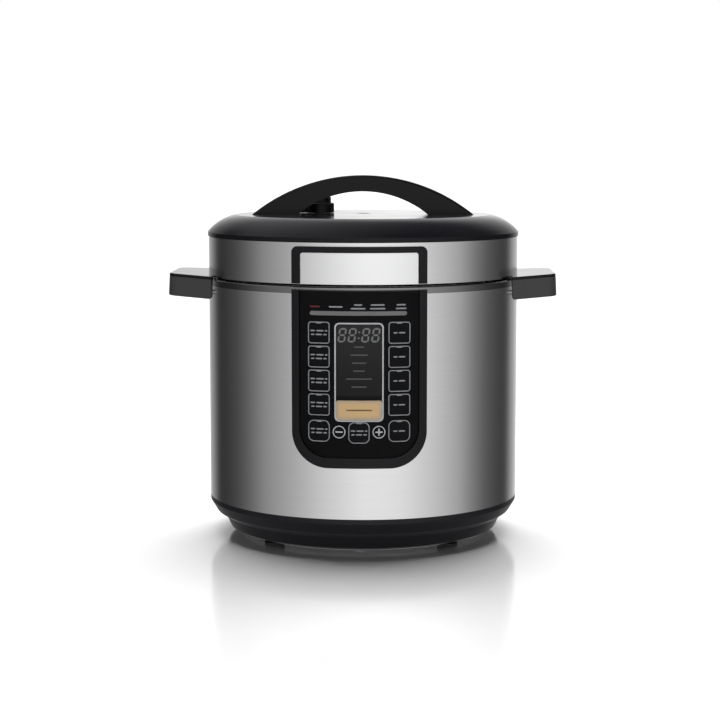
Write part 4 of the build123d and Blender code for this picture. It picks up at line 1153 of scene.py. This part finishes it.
@dataclass
class Studio:
    """Floor, soft light, surroundings and the camera."""

    distance: float = 1.708
    height: float = 0.352
    aside: float = 0.0415
    lens: float = 93.75
    pitch_deg: float = 6.54
    yaw_deg: float = 1.486
    floor_size: float = 60.0
    sky_strength: float = 5.6
    sky_width_deg: float = 58.0
    sky_behind_deg: float = 28.0
    sensor: float = 36.0
    walls: Stops = (
        (0.0, 0.96), (0.08, 0.89), (0.16, 0.81), (0.24, 0.66), (0.33, 0.51), (0.42, 0.37), (0.50, 0.19),
        (0.58, 0.092), (0.66, 0.056), (0.72, 0.040), (0.76, 0.065), (0.81, 0.28), (0.87, 0.46), (0.93, 0.72),
        (1.0, 1.3))
    wall_sides: tuple[float, float] = (0.8, 1.2)
    wall_gain: float = 2.0
    ceiling: Colour = (1.0, 1.0, 1.02)
    ceiling_sides: tuple[float, float] = (0.75, 0.12)
    ceiling_edge: float = 0.35
    ceiling_from: tuple[float, float] = (0.45, 0.8)
    ground: Colour = (0.2, 0.2, 0.203)
    ground_up_to: tuple[float, float] = (-0.55, -0.3)
    ambient: Colour = (0.13, 0.13, 0.132)

    def build(self) -> None:
        """Makes all of the studio."""
        self.floor()
        self.surroundings()
        self.lights()
        self.camera()
        bpy.context.scene.view_settings.view_transform = "Standard"
        LOG.info("studio ready")

    def floor(self) -> None:
        """A wide flat floor under the feet."""
        half = self.floor_size / 2
        corners = np.array([[-half, -half, 0], [half, -half, 0], [half, half, 0], [-half, half, 0]])
        floor = put_in("floor", corners, [(0, 1, 2, 3)])
        floor.data.materials.append(Worktop("finish_floor").material())
        floor.visible_glossy = False

    def surroundings(self) -> None:
        """White behind the cooker; reflections see a room bright in front and behind, dark at the sides."""
        world = bpy.data.worlds.new("studio")
        world.use_nodes = True
        bpy.context.scene.world = world
        graph = Graph(world.node_tree)
        direction = graph.out(graph.node("ShaderNodeTexCoord"), "Generated")
        x, y, z = graph.parts_of(direction)
        turn = graph.maths("ARCTAN2", graph.maths("ABSOLUTE", x), y * -1.0) / math.pi
        walls = self.ramp(graph, turn, self.walls)
        right = graph.span(x, -1.0, 1.0, *self.wall_sides)
        lit = graph.vector_maths("MULTIPLY", walls, (self.wall_gain,) * 3)
        wall = graph.mix(graph.clamp(right * (1 / self.wall_gain)), BLACK, lit)
        ceiling = graph.mix(graph.span(x, -self.ceiling_edge, self.ceiling_edge, *self.ceiling_sides), BLACK,
                            self.ceiling)
        upper = graph.mix(graph.span(z, *self.ceiling_from), wall, ceiling)
        room = graph.mix(graph.span(z, *self.ground_up_to), self.ground, upper)
        path = graph.node("ShaderNodeLightPath")
        plain = graph.mix(graph.out(path, "Is Camera Ray"), self.ambient, WHITE)
        seen = graph.mix(graph.out(path, "Is Glossy Ray"), plain, room)
        background = graph.node("ShaderNodeBackground", None, {"Color": seen, "Strength": 1.0})
        graph.node("ShaderNodeOutputWorld", None, {"Surface": graph.out(background)})

    def ramp(self, graph: Graph, factor: Wire, stops: Stops) -> Wire:
        """A grey ramp through stops of (place, brightness).

        Args:
            graph: the graph to build in.
            factor: where the ramp is read, 0 to 1.
            stops: place and brightness of each stop.

        Returns:
            The ramp's colour.
        """
        made = graph.node("ShaderNodeValToRGB", None, {0: factor})
        elements = made.color_ramp.elements
        while len(elements) < len(stops):
            elements.new(1.0)
        for element, (place, level) in zip(elements, stops):
            element.position = place
            element.color = (level, level, level, 1.0)
        return graph.out(made)

    def lights(self) -> None:
        """One very wide, even light from above and a little behind, that reflections don't show."""
        data = bpy.data.lights.new("light_sky", "SUN")
        data.angle = math.radians(self.sky_width_deg)
        data.energy = self.sky_strength
        light = bpy.data.objects.new("light_sky", data)
        light.rotation_euler = (math.radians(-self.sky_behind_deg), 0.0, 0.0)
        light.visible_glossy = False
        bpy.context.scene.collection.objects.link(light)

    def camera(self) -> None:
        """A long lens a little above the lid, looking slightly down."""
        data = bpy.data.cameras.new("camera")
        data.lens = self.lens
        data.sensor_width = self.sensor
        camera = bpy.data.objects.new("camera", data)
        camera.location = (self.aside, -self.distance, self.height)
        camera.rotation_mode = "YXZ"
        camera.rotation_euler = (math.radians(90 - self.pitch_deg), 0.0, math.radians(self.yaw_deg))
        bpy.context.scene.collection.objects.link(camera)
        bpy.context.scene.camera = camera


def main() -> None:
    """Builds the cooker's looks, sub-assembly by sub-assembly."""
    logging.basicConfig(level=logging.INFO, format="%(name)s: %(message)s")
    CarriedParts().dress()
    ControlPanel().build()
    Studio().build()


if __name__ == "__main__":
    main()
